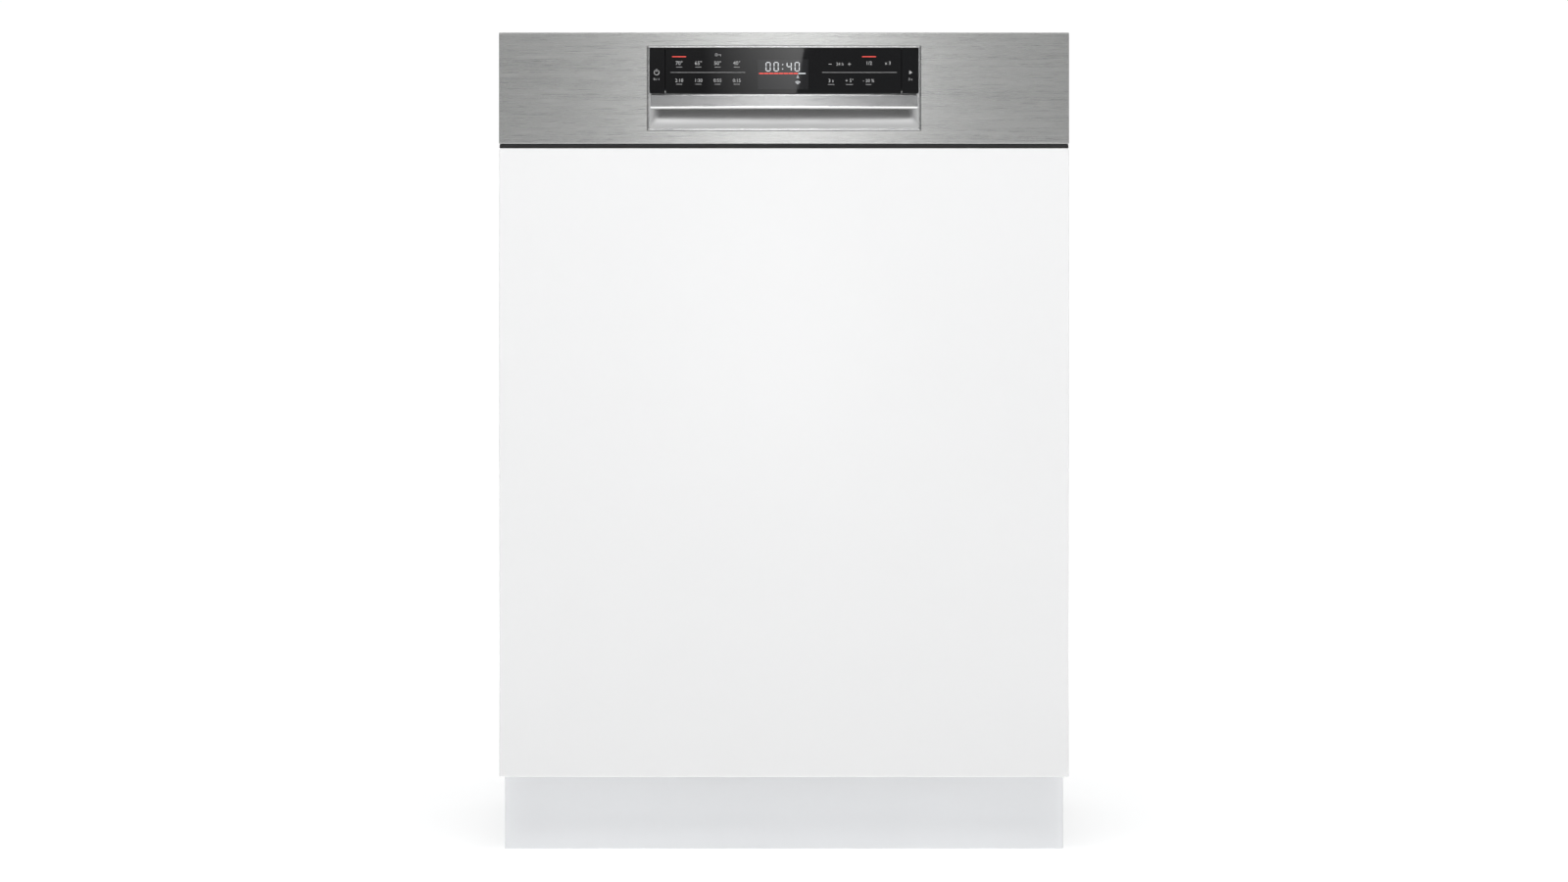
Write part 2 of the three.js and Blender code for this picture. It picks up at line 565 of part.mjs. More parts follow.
// The riser climbs the back wall, feeds the upper arm on the way and ends over the top arm.
function buildRiser() {
  const { halfWidth: h } = DUCT;
  const back = TUB_BACK - DUCT.gap;
  const column = box(-h, h, DUCT_FRONT, back, TUB_FLOOR + 2, TUB_TOP - 2);
  const ceiling = box(-h, h, HUB_Y - 16, back - 1, TUB_TOP - 13, TUB_TOP - 2);
  const nozzle = bar('y', DUCT_FRONT - 8, DUCT_FRONT + 1, [0, FEED_Z], 9, 12);
  const spigot = bar('z', TOP_ARM_Z + 2 + CLEAR, TUB_TOP - 12, [0, HUB_Y], SPIGOT_RADIUS, 12);
  place(cabinet, 'riser_pipe', fuse(column, ceiling, nozzle, spigot), greyPlastic);
}

// ---------------------------------------------------------------- upper rack
const RUNNER = { z: RACK.highRim - 62, height: 12, thickness: 4, x: RACK.half + 5 };

function buildUpperRack() {
  const w = RACK.wire;
  const { front, back, half, highFloor: floor, highRim: rim } = RACK;
  const wires = basket({
    half, front, back, floor, rim, pitchX: 84, pitchY: 76, rings: [floor + 48, rim],
  });
  const pegZ = floor + w - WELD + w / 2;
  for (const share of PEGS.rows) {
    const row = tineRow(back - front - 90, PEGS.height);
    wires.push(row.translate(share * half, (front + back) / 2, pegZ));
  }
  for (const side of [-1, 1]) {
    const x0 = side > 0 ? RUNNER.x : -RUNNER.x - RUNNER.thickness;
    wires.push(box(x0, x0 + RUNNER.thickness, front, back, RUNNER.z, RUNNER.z + RUNNER.height));
    for (const y of [front + 10, back - 22]) {
      const inner = side > 0 ? half - w : -RUNNER.x - 1;
      const outer = side > 0 ? RUNNER.x + 1 : -half + w;
      wires.push(box(inner, outer, y, y + 12, RUNNER.z + 2, RUNNER.z + RUNNER.height - 2));
      const postX = side > 0 ? half - w : -half;
      wires.push(box(postX, postX + w, y, y + 12, floor + 44, rim - 1));
    }
  }
  const nozzleEnd = DUCT_FRONT - 8;
  wires.push(bar('y', HUB_Y, nozzleEnd - CLEAR, [0, FEED_Z], 6, 12));
  wires.push(bar('z', UPPER_ARM_Z + ARM.thickness + 1, FEED_Z + 4, [0, HUB_Y], 14, 12));
  wires.push(bar('z', UPPER_ARM_Z + 3 + CLEAR, FEED_Z, [0, HUB_Y], SPIGOT_RADIUS, 12));
  for (const y of [HUB_Y, back - 30]) wires.push(box(-4, 4, y - 4, y + 4, FEED_Z, floor + w + 1));
  place(upperRack, 'upper_rack', fuse(...wires), rackCoating);

  const reach = Math.min(half, back - HUB_Y, HUB_Y - front) - 16;
  const paddle = sprayArm(reach, ARM.width, ARM.thickness).translate(0, 0, UPPER_ARM_Z);
  const armTop = UPPER_ARM_Z + ARM.thickness;
  const bore = bar('z', UPPER_ARM_Z + 3, armTop + 1, [0, 0], SPIGOT_RADIUS + RUNNING, 12);
  place(upperRack, 'upper_spray_arm', cut(paddle, bore), greyPlastic, [SUMP.x, HUB_Y, 0]);

  // Moulded guides on the tub's walls; the rack's runners slide in their channels.
  const guideBack = FLANGE + 120;
  const guide = cut(
    box(RUNNER.x - 1.5, TUB_HALF - CLEAR, FLANGE + 8, guideBack, RUNNER.z - 6, RUNNER.z + RUNNER.height + 6),
    box(RUNNER.x - 4, RUNNER.x + RUNNER.thickness + 1, FLANGE, guideBack + 1,
      RUNNER.z - 0.8, RUNNER.z + RUNNER.height + 0.8),
  );
  placePair(cabinet, 'runner_guide', guide, greyPlastic);
}

// ---------------------------------------------------------------- cutlery drawer
const TRAY_LIP = { height: 3, reach: 12 };

function buildCutleryDrawer() {
  const { front, back, half, trayFloor: floor, trayRim: rim } = RACK;
  const wires = basket({ half, front, back, floor, rim, pitchX: 72, pitchY: 76, rings: [rim] });
  for (const side of [-1, 1]) {
    const x0 = side > 0 ? half - 2 : -half - TRAY_LIP.reach;
    const x1 = side > 0 ? half + TRAY_LIP.reach : -half + 2;
    wires.push(box(x0, x1, front, back, rim - 12, rim - 12 + TRAY_LIP.height));
  }
  place(dishwasher, 'cutlery_drawer', fuse(...wires), rackCoating);

  const ledgeTop = rim - 12 - CLEAR;
  const rail = fuse(
    box(half + 6, TUB_HALF - CLEAR, FLANGE + 8, back, ledgeTop - 3, ledgeTop),
    box(TUB_HALF - 4, TUB_HALF - CLEAR, FLANGE + 8, back, ledgeTop - 12, ledgeTop + 14),
  );
  placePair(cabinet, 'drawer_rail', rail, stainless);
}

// ---------------------------------------------------------------- door hinges and springs
const PIN_RADIUS = 5;
const ARM_PLATE = { x: DOOR_HALF + 0.4, thickness: 3 };
const BRACKET_X = ARM_PLATE.x + ARM_PLATE.thickness + 1;
const SPRING = { radius: 8, z: HINGE_Z + 12, y0: WET_FACE + 7, y1: BASE_FRONT + 90, x: DOOR_HALF - 8 };

function buildHinges() {
  const bracketHalf = 13;
  const leg = outline([
    [HINGE_Y, HINGE_Z - bracketHalf],
    [BASE_FRONT + 4, HINGE_Z - bracketHalf],
    [BASE_FRONT + 4, BASE_BOTTOM + 6],
    [BASE_FRONT + 40, BASE_BOTTOM + 6],
    [BASE_FRONT + 40, HINGE_Z + bracketHalf],
    [HINGE_Y, HINGE_Z + bracketHalf],
  ]);
  const bracket = fuse(
    pushX(leg, BRACKET_X, BRACKET_X + 3),
    bar('x', BRACKET_X, BRACKET_X + 3, [HINGE_Y, HINGE_Z], bracketHalf, 20),
    bar('x', DOOR_HALF + 0.2, BRACKET_X + 1, [HINGE_Y, HINGE_Z], PIN_RADIUS, 16),
  );
  placePair(cabinet, 'hinge_bracket', bracket, galvanised);

  const armTop = HINGE_Z + 170;
  const plate = outline([
    [HINGE_Y - 11, HINGE_Z - 6],
    [HINGE_Y + 11, HINGE_Z - 6],
    [HINGE_Y + 28, HINGE_Z + 6],
    [HINGE_Y + 28, HINGE_Z + 20],
    [HINGE_Y + 14, HINGE_Z + 34],
    [HINGE_Y + 14, armTop],
    [HINGE_Y - 11, armTop],
  ]);
  const arm = cut(
    fuse(
      pushX(plate, ARM_PLATE.x, ARM_PLATE.x + ARM_PLATE.thickness),
      bar('x', ARM_PLATE.x, ARM_PLATE.x + ARM_PLATE.thickness, [HINGE_Y, HINGE_Z], 11, 20),
    ),
    bar('x', ARM_PLATE.x - 1, ARM_PLATE.x + 5, [HINGE_Y, HINGE_Z], PIN_RADIUS + RUNNING, 16),
  );
  placePair(door, 'hinge_arm', arm, galvanised);

  const hook = ARM_PLATE.x - CLEAR;
  const spring = fuse(
    bar('y', SPRING.y0 + 10, SPRING.y1 - 10, [SPRING.x - 2, SPRING.z], SPRING.radius, 12),
    box(SPRING.x - 3, SPRING.x - 1, SPRING.y0, SPRING.y1, SPRING.z - 1.5, SPRING.z + 1.5),
    box(SPRING.x - 3, hook, SPRING.y0 - 3, SPRING.y0 + 1, SPRING.z - 1.5, SPRING.z + 1.5),
    box(SPRING.x - 3, hook, SPRING.y1 - 1, SPRING.y1 + 3, SPRING.z - 1.5, SPRING.z + 1.5),
  );
  placePair(cabinet, 'door_spring', spring, galvanised);
}

// ---------------------------------------------------------------- door shell
const RETURN_FRONT = PANEL_BACK + 5.5; // front edge of the liner's side walls
const DISPENSER = { x0: -96, x1: 96, z0: TUB_FLOOR + 240, height: 142, proud: 6, deep: 30 };

function buildDoorShell() {
  const sheetFront = PANEL_BACK + CLEAR;
  place(door, 'door_outer_sheet', box(
    -BODY_HALF + 2, BODY_HALF - 2, sheetFront, sheetFront + SHEET, DOOR_BOTTOM, PANEL_TOP), galvanised);

  const pan = cut(
    box(-DOOR_HALF, DOOR_HALF, RETURN_FRONT, WET_FACE, DOOR_BOTTOM, DOOR_TOP),
    box(
      -DOOR_HALF + SHEET, DOOR_HALF - SHEET, RETURN_FRONT - 1, WET_FACE - SHEET,
      DOOR_BOTTOM + SHEET, DOOR_TOP - SHEET,
    ),
    box(
      DISPENSER.x0 - CLEAR, DISPENSER.x1 + CLEAR, WET_FACE - 5, WET_FACE + 5,
      DISPENSER.z0 - CLEAR, DISPENSER.z0 + DISPENSER.height + CLEAR,
    ),
  );
  place(door, 'door_liner', pan, stainless);

  place(door, 'front_panel', box(-HALF, HALF, FRONT, PANEL_BACK, PANEL_BOTTOM, PANEL_TOP), whiteLacquer);
  place(door, 'trim_strip', box(
    -HALF + 0.5, HALF - 0.5, FRONT + 1, PANEL_BACK - 1, PANEL_TOP + CLEAR, FASCIA_BOTTOM - CLEAR),
  rubber);
}

// ---------------------------------------------------------------- detergent dispenser
const CHAMBER = { x0: -84, x1: -8, depth: 22, height: 56, margin: 8 };
const LID = { thickness: 2.5, over: 3, travel: 62 };
const RINSE = { x: 46, half: 20, thickness: 4 };

function buildDispenser() {
  const { x0, x1, z0, height, proud, deep } = DISPENSER;
  const face = WET_FACE + proud;
  const chamberBottom = z0 + CHAMBER.margin;
  const chamberTop = chamberBottom + CHAMBER.height;
  const body = cut(
    box(x0, x1, WET_FACE - deep, face, z0, z0 + height),
    box(CHAMBER.x0, CHAMBER.x1, face - CHAMBER.depth, face + 1, chamberBottom, chamberTop),
    box(
      CHAMBER.x0 - LID.over - CLEAR, CHAMBER.x1 + LID.over + CLEAR,
      face - LID.thickness - CLEAR, face + 1,
      chamberBottom - LID.over - CLEAR, chamberTop + LID.over + LID.travel + CLEAR,
    ),
  );
  place(door, 'dispenser', body, greyPlastic);

  const lid = fuse(
    box(
      CHAMBER.x0 - LID.over, CHAMBER.x1 + LID.over, face - LID.thickness, face,
      chamberBottom - LID.over, chamberTop + LID.over,
    ),
    box(CHAMBER.x0 + 18, CHAMBER.x1 - 18, face - 0.5, face + 1, chamberBottom + 6, chamberBottom + 12),
  );
  place(door, 'dispenser_lid', lid, greyPlastic);

  const capZ = z0 + 30;
  const cap = box(
    RINSE.x - RINSE.half, RINSE.x + RINSE.half, face + CLEAR, face + CLEAR + RINSE.thickness,
    capZ, capZ + 2 * RINSE.half,
  );
  place(door, 'rinse_aid_cap', cap, greyPlastic);
}

// ---------------------------------------------------------------- fascia, controls and grip
const WINDOW = { half: 143, bottom: FASCIA_BOTTOM + 14, top: FASCIA_TOP - 14 };
const RIM = 1.5;
const FASCIA_RETURN = 19.5;
const GRIP = { z0: WINDOW.bottom + 23, height: 15.2, depth: 9, bow: 3 };
const POCKET = { back: FRONT + 31, wall: 2, taper: 11, lip: 2.3 };
const KEY_LEFT = 16; // width of the on/off key
const KEY_RIGHT = 17.3; // width of the start key
const KEY_TRAVEL = 1.5;
const KEY_GAP = 0.6;

function buildFascia() {
  const back = FRONT + FASCIA_RETURN;
  const shell = cut(
    box(-HALF, HALF, FRONT, back, FASCIA_BOTTOM, FASCIA_TOP),
    box(-HALF + SHEET, HALF - SHEET, FRONT + SHEET, back + 1, FASCIA_BOTTOM + SHEET, FASCIA_TOP - SHEET),
    box(-WINDOW.half, WINDOW.half, FRONT - 1, FRONT + 3, WINDOW.bottom, WINDOW.top),
  );
  place(door, 'fascia', shell, brushedSteel);

  const inner = DOOR_HALF - SHEET - CLEAR;
  const housing = cut(
    box(-inner, inner, RETURN_FRONT, WET_FACE - SHEET - CLEAR,
      FASCIA_BOTTOM + 3, DOOR_TOP - SHEET - CLEAR),
    box(-inner + 2, inner - 2, RETURN_FRONT - 1, WET_FACE - SHEET - CLEAR - 2,
      FASCIA_BOTTOM + 5, DOOR_TOP - SHEET - CLEAR - 2),
  );
  place(door, 'fascia_housing', housing, blackPlastic);

  const lockTop = FASCIA_TOP - CLEAR;
  const lock = cut(
    box(-28, 28, RETURN_FRONT, WET_FACE - 4, DOOR_TOP + CLEAR, lockTop),
    box(-RAIL.tongueHalf - 2, RAIL.tongueHalf + 2, FLANGE - 30, WET_FACE,
      TONGUE.z0 - 0.9, lockTop + 1),
  );
  place(door, 'door_lock', lock, blackPlastic);
}

// The scoop behind the grip: level sill, sloping back wall, then a hollow up behind the grip bar.
function pocketHollow(half, taper) {
  const ceiling = GRIP.z0 + GRIP.height + CLEAR;
  const slope = outline([
    [FRONT - 1, WINDOW.bottom + POCKET.lip],
    [FRONT + 2, WINDOW.bottom + POCKET.lip],
    [FRONT + 20, WINDOW.bottom + 14],
    [POCKET.back - POCKET.wall, WINDOW.bottom + 30],
    [POCKET.back - POCKET.wall, ceiling],
    [FRONT - 1, ceiling],
  ]);
  const plan = outline([
    [-half, FRONT - 1],
    [half, FRONT - 1],
    [half, FRONT + GRIP.depth],
    [half - taper, POCKET.back],
    [-half + taper, POCKET.back],
    [-half, FRONT + GRIP.depth],
  ]);
  return common(pushX(slope, -half, half), pushZ(plan, WINDOW.bottom, ceiling + 1));
}

function buildHandle() {
  const outer = WINDOW.half - CLEAR;
  const inner = outer - RIM;
  const ceiling = GRIP.z0 + GRIP.height + CLEAR;
  const block = box(-outer, outer, FRONT, POCKET.back, WINDOW.bottom + CLEAR, ceiling + POCKET.wall);
  const frame = cut(
    box(-outer, outer, FRONT, FRONT + 8, WINDOW.bottom + CLEAR, WINDOW.top - CLEAR),
    box(-inner, inner, FRONT - 1, FRONT + 9, WINDOW.bottom + 10, WINDOW.top - CLEAR - RIM),
  );
  const shelf = box(-inner, inner, FRONT - 1, FRONT + 12, ceiling, WINDOW.top);
  const pocket = fuse(cut(block, pocketHollow(inner, POCKET.taper), shelf), frame);
  place(door, 'handle_pocket', pocket, silverPlastic);

  const end = inner - CLEAR;
  const plan = new THREE.Shape();
  plan.moveTo(-end, FRONT + GRIP.bow);
  plan.quadraticCurveTo(0, FRONT - GRIP.bow + 0.4, end, FRONT + GRIP.bow);
  plan.lineTo(end, FRONT + GRIP.depth);
  plan.lineTo(-end, FRONT + GRIP.depth);
  place(door, 'grip_bar', pushZ(plan, GRIP.z0, GRIP.z0 + GRIP.height, 12), chrome);

  const bottom = ceiling + CLEAR;
  const top = WINDOW.top - 2 * CLEAR - RIM;
  const glassLeft = -end + KEY_LEFT + KEY_GAP;
  const glassRight = end - KEY_RIGHT - KEY_GAP;
  place(door, 'control_window', box(
    glassLeft, glassRight, FRONT + 0.2, FRONT + 3.2, bottom, top), blackGlass);
  place(door, 'power_button', box(
    -end, -end + KEY_LEFT, FRONT + 0.2, FRONT + 6, bottom, top), blackGlass);
  place(door, 'start_button', box(
    end - KEY_RIGHT, end, FRONT + 0.2, FRONT + 6, bottom, top), blackGlass);

  const board = fuse(
    box(glassLeft + 8, glassRight - 8, FRONT + 10, FRONT + 11.6, bottom + 4, top - 2),
    box(-34, 34, FRONT + 3.6, FRONT + 10.5, bottom + 8, top - 6),
  );
  place(door, 'control_board', board, greenBoard);
}

// ---------------------------------------------------------------- assembly
buildFeet();
buildBase();
buildCasing();
buildTopRail();
buildTub();
buildGasket();
buildSump();
buildFilters();
buildPumps();
buildSoftener();
buildPorts();
buildLowerArm();
buildTopArm();
buildRiser();
buildLowerRack();
buildUpperRack();
buildCutleryDrawer();
buildHinges();
buildDoorShell();
buildDispenser();
buildFascia();
buildHandle();

export default dishwasher;
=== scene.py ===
import math

import bmesh
import bpy
from mathutils import Matrix, Vector


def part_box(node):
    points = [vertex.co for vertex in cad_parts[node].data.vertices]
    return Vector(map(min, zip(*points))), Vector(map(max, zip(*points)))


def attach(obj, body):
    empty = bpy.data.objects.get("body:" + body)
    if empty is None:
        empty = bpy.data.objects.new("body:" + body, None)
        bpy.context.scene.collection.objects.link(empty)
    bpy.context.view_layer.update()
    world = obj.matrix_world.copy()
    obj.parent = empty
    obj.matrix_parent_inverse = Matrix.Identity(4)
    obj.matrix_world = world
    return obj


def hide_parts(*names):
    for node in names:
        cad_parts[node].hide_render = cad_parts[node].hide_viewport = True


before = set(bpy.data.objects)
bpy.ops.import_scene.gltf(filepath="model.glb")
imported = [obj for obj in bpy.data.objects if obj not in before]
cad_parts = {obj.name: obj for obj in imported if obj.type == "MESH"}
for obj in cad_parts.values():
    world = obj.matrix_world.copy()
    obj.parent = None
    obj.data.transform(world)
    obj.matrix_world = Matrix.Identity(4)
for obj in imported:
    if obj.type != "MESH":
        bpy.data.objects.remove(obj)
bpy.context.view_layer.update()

scene = bpy.context.scene

# ---------------------------------------------------------------- studio
# The camera stands straight in front, a little below the middle of the appliance, with a long lens.
# Soft boxes hang above, beside and behind; two small ones near the lens light the fascia's middle.
scene.view_settings.view_transform = "Standard"


def mm(*values):
    return Vector([value * 0.001 for value in values])


lens = bpy.data.cameras.new("camera")
lens.lens, lens.sensor_width = 62.4, 36.0
camera = bpy.data.objects.new("camera", lens)
camera.location = mm(0, -3136.5, 437.5)
camera.rotation_euler = (math.pi / 2, 0, 0)
scene.collection.objects.link(camera)
scene.camera = camera


def soft_box(name, place, target, width, height, watts):
    lamp = bpy.data.lights.new(name, "AREA")
    lamp.shape = "RECTANGLE"
    lamp.size, lamp.size_y, lamp.energy = width, height, watts
    holder = bpy.data.objects.new(name, lamp)
    holder.location = place
    holder.rotation_euler = (Vector(target) - Vector(place)).to_track_quat("-Z", "Y").to_euler()
    scene.collection.objects.link(holder)


soft_box("key_above", (0, -2.2, 2.9), (0, -0.28, 0.6), 3.0, 1.4, 42)
soft_box("side_left", (-3.0, -0.4, 1.8), (0, 0, 0.4), 1.6, 2.2, 9)
soft_box("side_right", (3.0, -0.4, 1.8), (0, 0, 0.4), 1.6, 2.2, 9)
soft_box("back_above", (0, 3.2, 2.6), (0, 0, 0.4), 4.2, 2.4, 34)
soft_box("lens_upper", (0, -3.4, 1.84), (0, -0.28, 0.8), 0.26, 0.6, 2.7)
soft_box("lens_lower", (0, -3.4, 0.66), (0, -0.28, 0.8), 0.26, 0.6, 2.7)

world = bpy.data.worlds.new("studio")
scene.world = world
world.use_nodes = True
sky = world.node_tree
sky.nodes.clear()
seen = sky.nodes.new("ShaderNodeLightPath")
choose = sky.nodes.new("ShaderNodeMixShader")
sky_out = sky.nodes.new("ShaderNodeOutputWorld")
sky.links.new(seen.outputs["Is Camera Ray"], choose.inputs[0])
for socket, colour, strength in ((1, (0.96, 0.98, 1.0, 1), 0.18), (2, (1, 1, 1, 1), 1.02)):
    room = sky.nodes.new("ShaderNodeBackground")
    room.inputs["Color"].default_value, room.inputs["Strength"].default_value = colour, strength
    sky.links.new(room.outputs[0], choose.inputs[socket])
sky.links.new(choose.outputs[0], sky_out.inputs[0])


# ---------------------------------------------------------------- floor and reflected card
# A seamless pale floor that runs to the horizon, and a pale card whose slanted edge shows in the
# glossy black glass of the controls.
class Value:
    """A number or colour leaving a node, with Python's operators adding Math nodes."""

    def __init__(self, finish, socket):
        self.finish, self.socket = finish, socket

    def maths(self, operation, first, second):
        return self.finish.node("ShaderNodeMath", {"operation": operation}, {0: first, 1: second})

    def __add__(self, other):
        return self.maths("ADD", self, other)

    def __mul__(self, other):
        return self.maths("MULTIPLY", self, other)

    def __rsub__(self, other):
        return self.maths("SUBTRACT", other, self)

    __radd__ = __add__
    __rmul__ = __mul__

    def ranged(self, low, high, to_low=0.0, to_high=1.0):
        ends = {"From Min": low, "From Max": high, "To Min": to_low, "To Max": to_high}
        return self.finish.node("ShaderNodeMapRange", {"clamp": True}, {"Value": self, **ends})


class Finish:
    """One material, with its node tree, its Principled shader and the record's slot for it."""

    def __init__(self, name, slot="", **constants):
        self.slot = slot or name
        self.material = bpy.data.materials.new(name)
        self.material.use_nodes = True
        self.tree = self.material.node_tree
        self.shader = self.tree.nodes["Principled BSDF"]
        self.set(**constants)

    def node(self, kind, settings, sockets, output=0):
        made = self.tree.nodes.new(kind)
        for name, setting in settings.items():
            setattr(made, name, setting)
        for name, value in sockets.items():
            self.feed(made.inputs[name], value)
        return Value(self, made.outputs[output])

    def feed(self, socket, value):
        if isinstance(value, Value):
            self.tree.links.new(value.socket, socket)
        else:
            socket.default_value = value

    def set(self, **sockets):
        for name, value in sockets.items():
            self.feed(self.shader.inputs[name.replace("_", " ")], value)
        return self

    def place(self, scale=(1, 1, 1), turn=(0, 0, 0)):
        at = self.node("ShaderNodeTexCoord", {}, {}, "Object")
        return self.node("ShaderNodeMapping", {}, {"Vector": at, "Scale": scale, "Rotation": turn})

    def noise(self, scale, detail=3.0, stretch=(1, 1, 1), roughness=0.5):
        sockets = {"Vector": self.place(stretch), "Scale": scale, "Detail": detail, "Roughness": roughness}
        return self.node("ShaderNodeTexNoise", {}, sockets)

    def cells(self, scale, output="Distance", randomness=1.0):
        sockets = {"Vector": self.place(), "Scale": scale, "Randomness": randomness}
        return self.node("ShaderNodeTexVoronoi", {"feature": "F1"}, sockets, output)

    def blend(self, factor, first, second):
        return self.node("ShaderNodeMix", {"data_type": "RGBA"}, {0: factor, 6: first, 7: second}, 2)

    def relief(self, height, depth, strength=1.0):
        bump = self.node("ShaderNodeBump", {}, {"Height": height, "Distance": depth, "Strength": strength})
        return self.set(Normal=bump)


def grey(value, tint=(1, 1, 1)):
    return (value * tint[0], value * tint[1], value * tint[2], 1)


def solid(name, bm, finish):
    """Turns a bmesh into an object with a finish."""
    mesh = bpy.data.meshes.new(name)
    bm.to_mesh(mesh)
    bm.free()
    mesh.materials.append(finish.material)
    made = bpy.data.objects.new(name, mesh)
    scene.collection.objects.link(made)
    return made


def turn(bm, verts, angle, axis):
    """Turns corners about an axis through the origin."""
    bmesh.ops.rotate(bm, cent=(0, 0, 0), matrix=Matrix.Rotation(angle, 3, axis), verts=verts)


floor_finish = Finish("studio_floor", Roughness=0.8, Emission_Strength=1.0)
floor_reach = floor_finish.node(
    "ShaderNodeVectorMath", {"operation": "LENGTH"}, {0: floor_finish.place()}, "Value")
floor_finish.set(
    Base_Color=floor_finish.blend(floor_finish.noise(6, 4), grey(0.88), grey(0.9)),
    Emission_Color=floor_finish.blend(floor_reach.ranged(0.5, 2.6), grey(0.58), grey(1.0)))
bm = bmesh.new()
bmesh.ops.create_grid(bm, x_segments=4, y_segments=4, size=40)
floor = solid("studio_floor", bm, floor_finish)
floor.location.z = -0.0005

card_finish = Finish("reflected_card", Base_Color=(0, 0, 0, 1), Roughness=1.0, Emission_Strength=1.45)
card_at = card_finish.node("ShaderNodeTexCoord", {}, {}, "Object")
card_x, card_z = (card_finish.node("ShaderNodeSeparateXYZ", {}, {0: card_at}, axis) for axis in "XZ")
card_light = card_x.ranged(-0.17, 0.02, 0.1, 1.0) * card_z.ranged(1.14, 1.3, 0.75, 1.5)
card_finish.set(Emission_Color=card_finish.node(
    "ShaderNodeCombineColor", {}, {0: card_light, 1: card_light, 2: card_light}))
card_edges = {True: (0.052, 1.33), False: (0.018, 1.11)}
bm = bmesh.new()
bmesh.ops.create_grid(bm, x_segments=1, y_segments=1, size=0.5)
turn(bm, bm.verts, math.pi / 2, "X")
for corner in bm.verts:
    slant, corner.co.z = card_edges[corner.co.z > 0]
    corner.co.x = slant if corner.co.x > 0 else -0.6
    corner.co.y = -3.14
card = solid("reflected_card", bm, card_finish)
card.visible_camera = card.visible_diffuse = card.visible_shadow = False


# ---------------------------------------------------------------- front panel
# The board that hides the door: 19 mm core with a smooth satin white lacquer and softened edges.
# It is screwed to the door from behind.
def block(bm, low, high, radius=0.5, segments=3):
    """Adds a box between two opposite corners in millimetres, its edges rounded."""
    made = bmesh.ops.create_cube(bm, size=1)["verts"]
    bmesh.ops.scale(bm, vec=[abs(b - a) * 0.001 for a, b in zip(low, high)], verts=made)
    bmesh.ops.translate(bm, vec=[(a + b) * 0.0005 for a, b in zip(low, high)], verts=made)
    if radius:
        bevel(bm, {edge for vert in made for edge in vert.link_edges}, radius, segments)
    return made


def bevel(bm, edges, radius, segments=3):
    bmesh.ops.bevel(
        bm, geom=list(edges), offset=radius * 0.001, segments=segments, profile=0.5,
        affect="EDGES", material=-1, clamp_overlap=True)


def fit(name, bm, body, finish, *nodes, sharp=32, wall=0.0, offset=0.0):
    """Makes a finished piece of a bmesh: it rides on a body and stands for CAD nodes. Edges over the
    sharp angle stay crisp, and wall gives a sheet its thickness."""
    piece = solid(name, bm, finish)
    piece.data.shade_smooth()
    piece.data.set_sharp_from_angle(angle=math.radians(sharp))
    if wall:
        sheet = piece.modifiers.new("sheet", "SOLIDIFY")
        sheet.thickness, sheet.offset = wall * 0.001, offset
    if sharp < 50:
        piece.modifiers.new("even_shading", "WEIGHTED_NORMAL").keep_sharp = True
    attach(piece, body)
    for node in nodes:
        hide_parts(node)


def grained(name, cloud, tones, grain, gloss, depth, **constants):
    """A finish with a faint cloud in its colour, and a fine grain in its gloss and its surface."""
    finish = Finish(name, **constants)
    specks = finish.noise(grain, 2)
    finish.set(
        Base_Color=finish.blend(finish.noise(*cloud), *tones), Roughness=specks.ranged(0.3, 0.7, *gloss))
    return finish.relief(specks, depth)


half_width, front = 299, -286.5
white_lacquer = grained(
    "white_lacquer", (3.2, 3), (grey(0.865), grey(0.88)), 260, (0.31, 0.38), 0.00004,
    Roughness=0.34, Coat_Weight=0.25, Coat_Roughness=0.2)
bm = bmesh.new()
block(bm, (-half_width, front, 85), (half_width, front + 19, 744.7), 1.6, 4)
fit("lacquered_front_panel", bm, "door", white_lacquer, "front_panel")

# ---------------------------------------------------------------- plinth
# A 16 mm board under the door, lacquered a touch cooler than the front, on two small brackets.
plinth_lacquer = grained(
    "plinth_lacquer", (4, 3), ((0.92, 0.93, 0.945, 1), (0.935, 0.945, 0.96, 1)), 240, (0.38, 0.46), 0.00005,
    Roughness=0.42)
bracket_x = 197.34
bm = bmesh.new()
block(bm, (-half_width, -226.5, 0.5), (half_width, -210.5, 78.5), 0.9, 3)
for x in (-bracket_x, bracket_x):
    block(bm, (x - 8, -211, 65), (x + 8, -165, 74), 0.8, 2)
fit("plinth_board", bm, "cabinet", plinth_lacquer, "plinth_panel")

# ---------------------------------------------------------------- dark strip
# An extruded rubber strip that closes the joint between the steel fascia and the front panel.
# A thin lip runs along the foot of its front.
rubber = grained(
    "rubber", (40, 3), (grey(0.011), grey(0.02)), 900, (0.62, 0.8), 0.00003, Roughness=0.72)
bm = bmesh.new()
block(bm, (-298.5, -284.6, 745.0), (298.5, -268.5, 748.7), 0.5, 2)
block(bm, (-298.5, -285.5, 745.0), (298.5, -284.0, 746.1), 0.35, 2)
fit("joint_strip", bm, "door", rubber, "trim_strip")

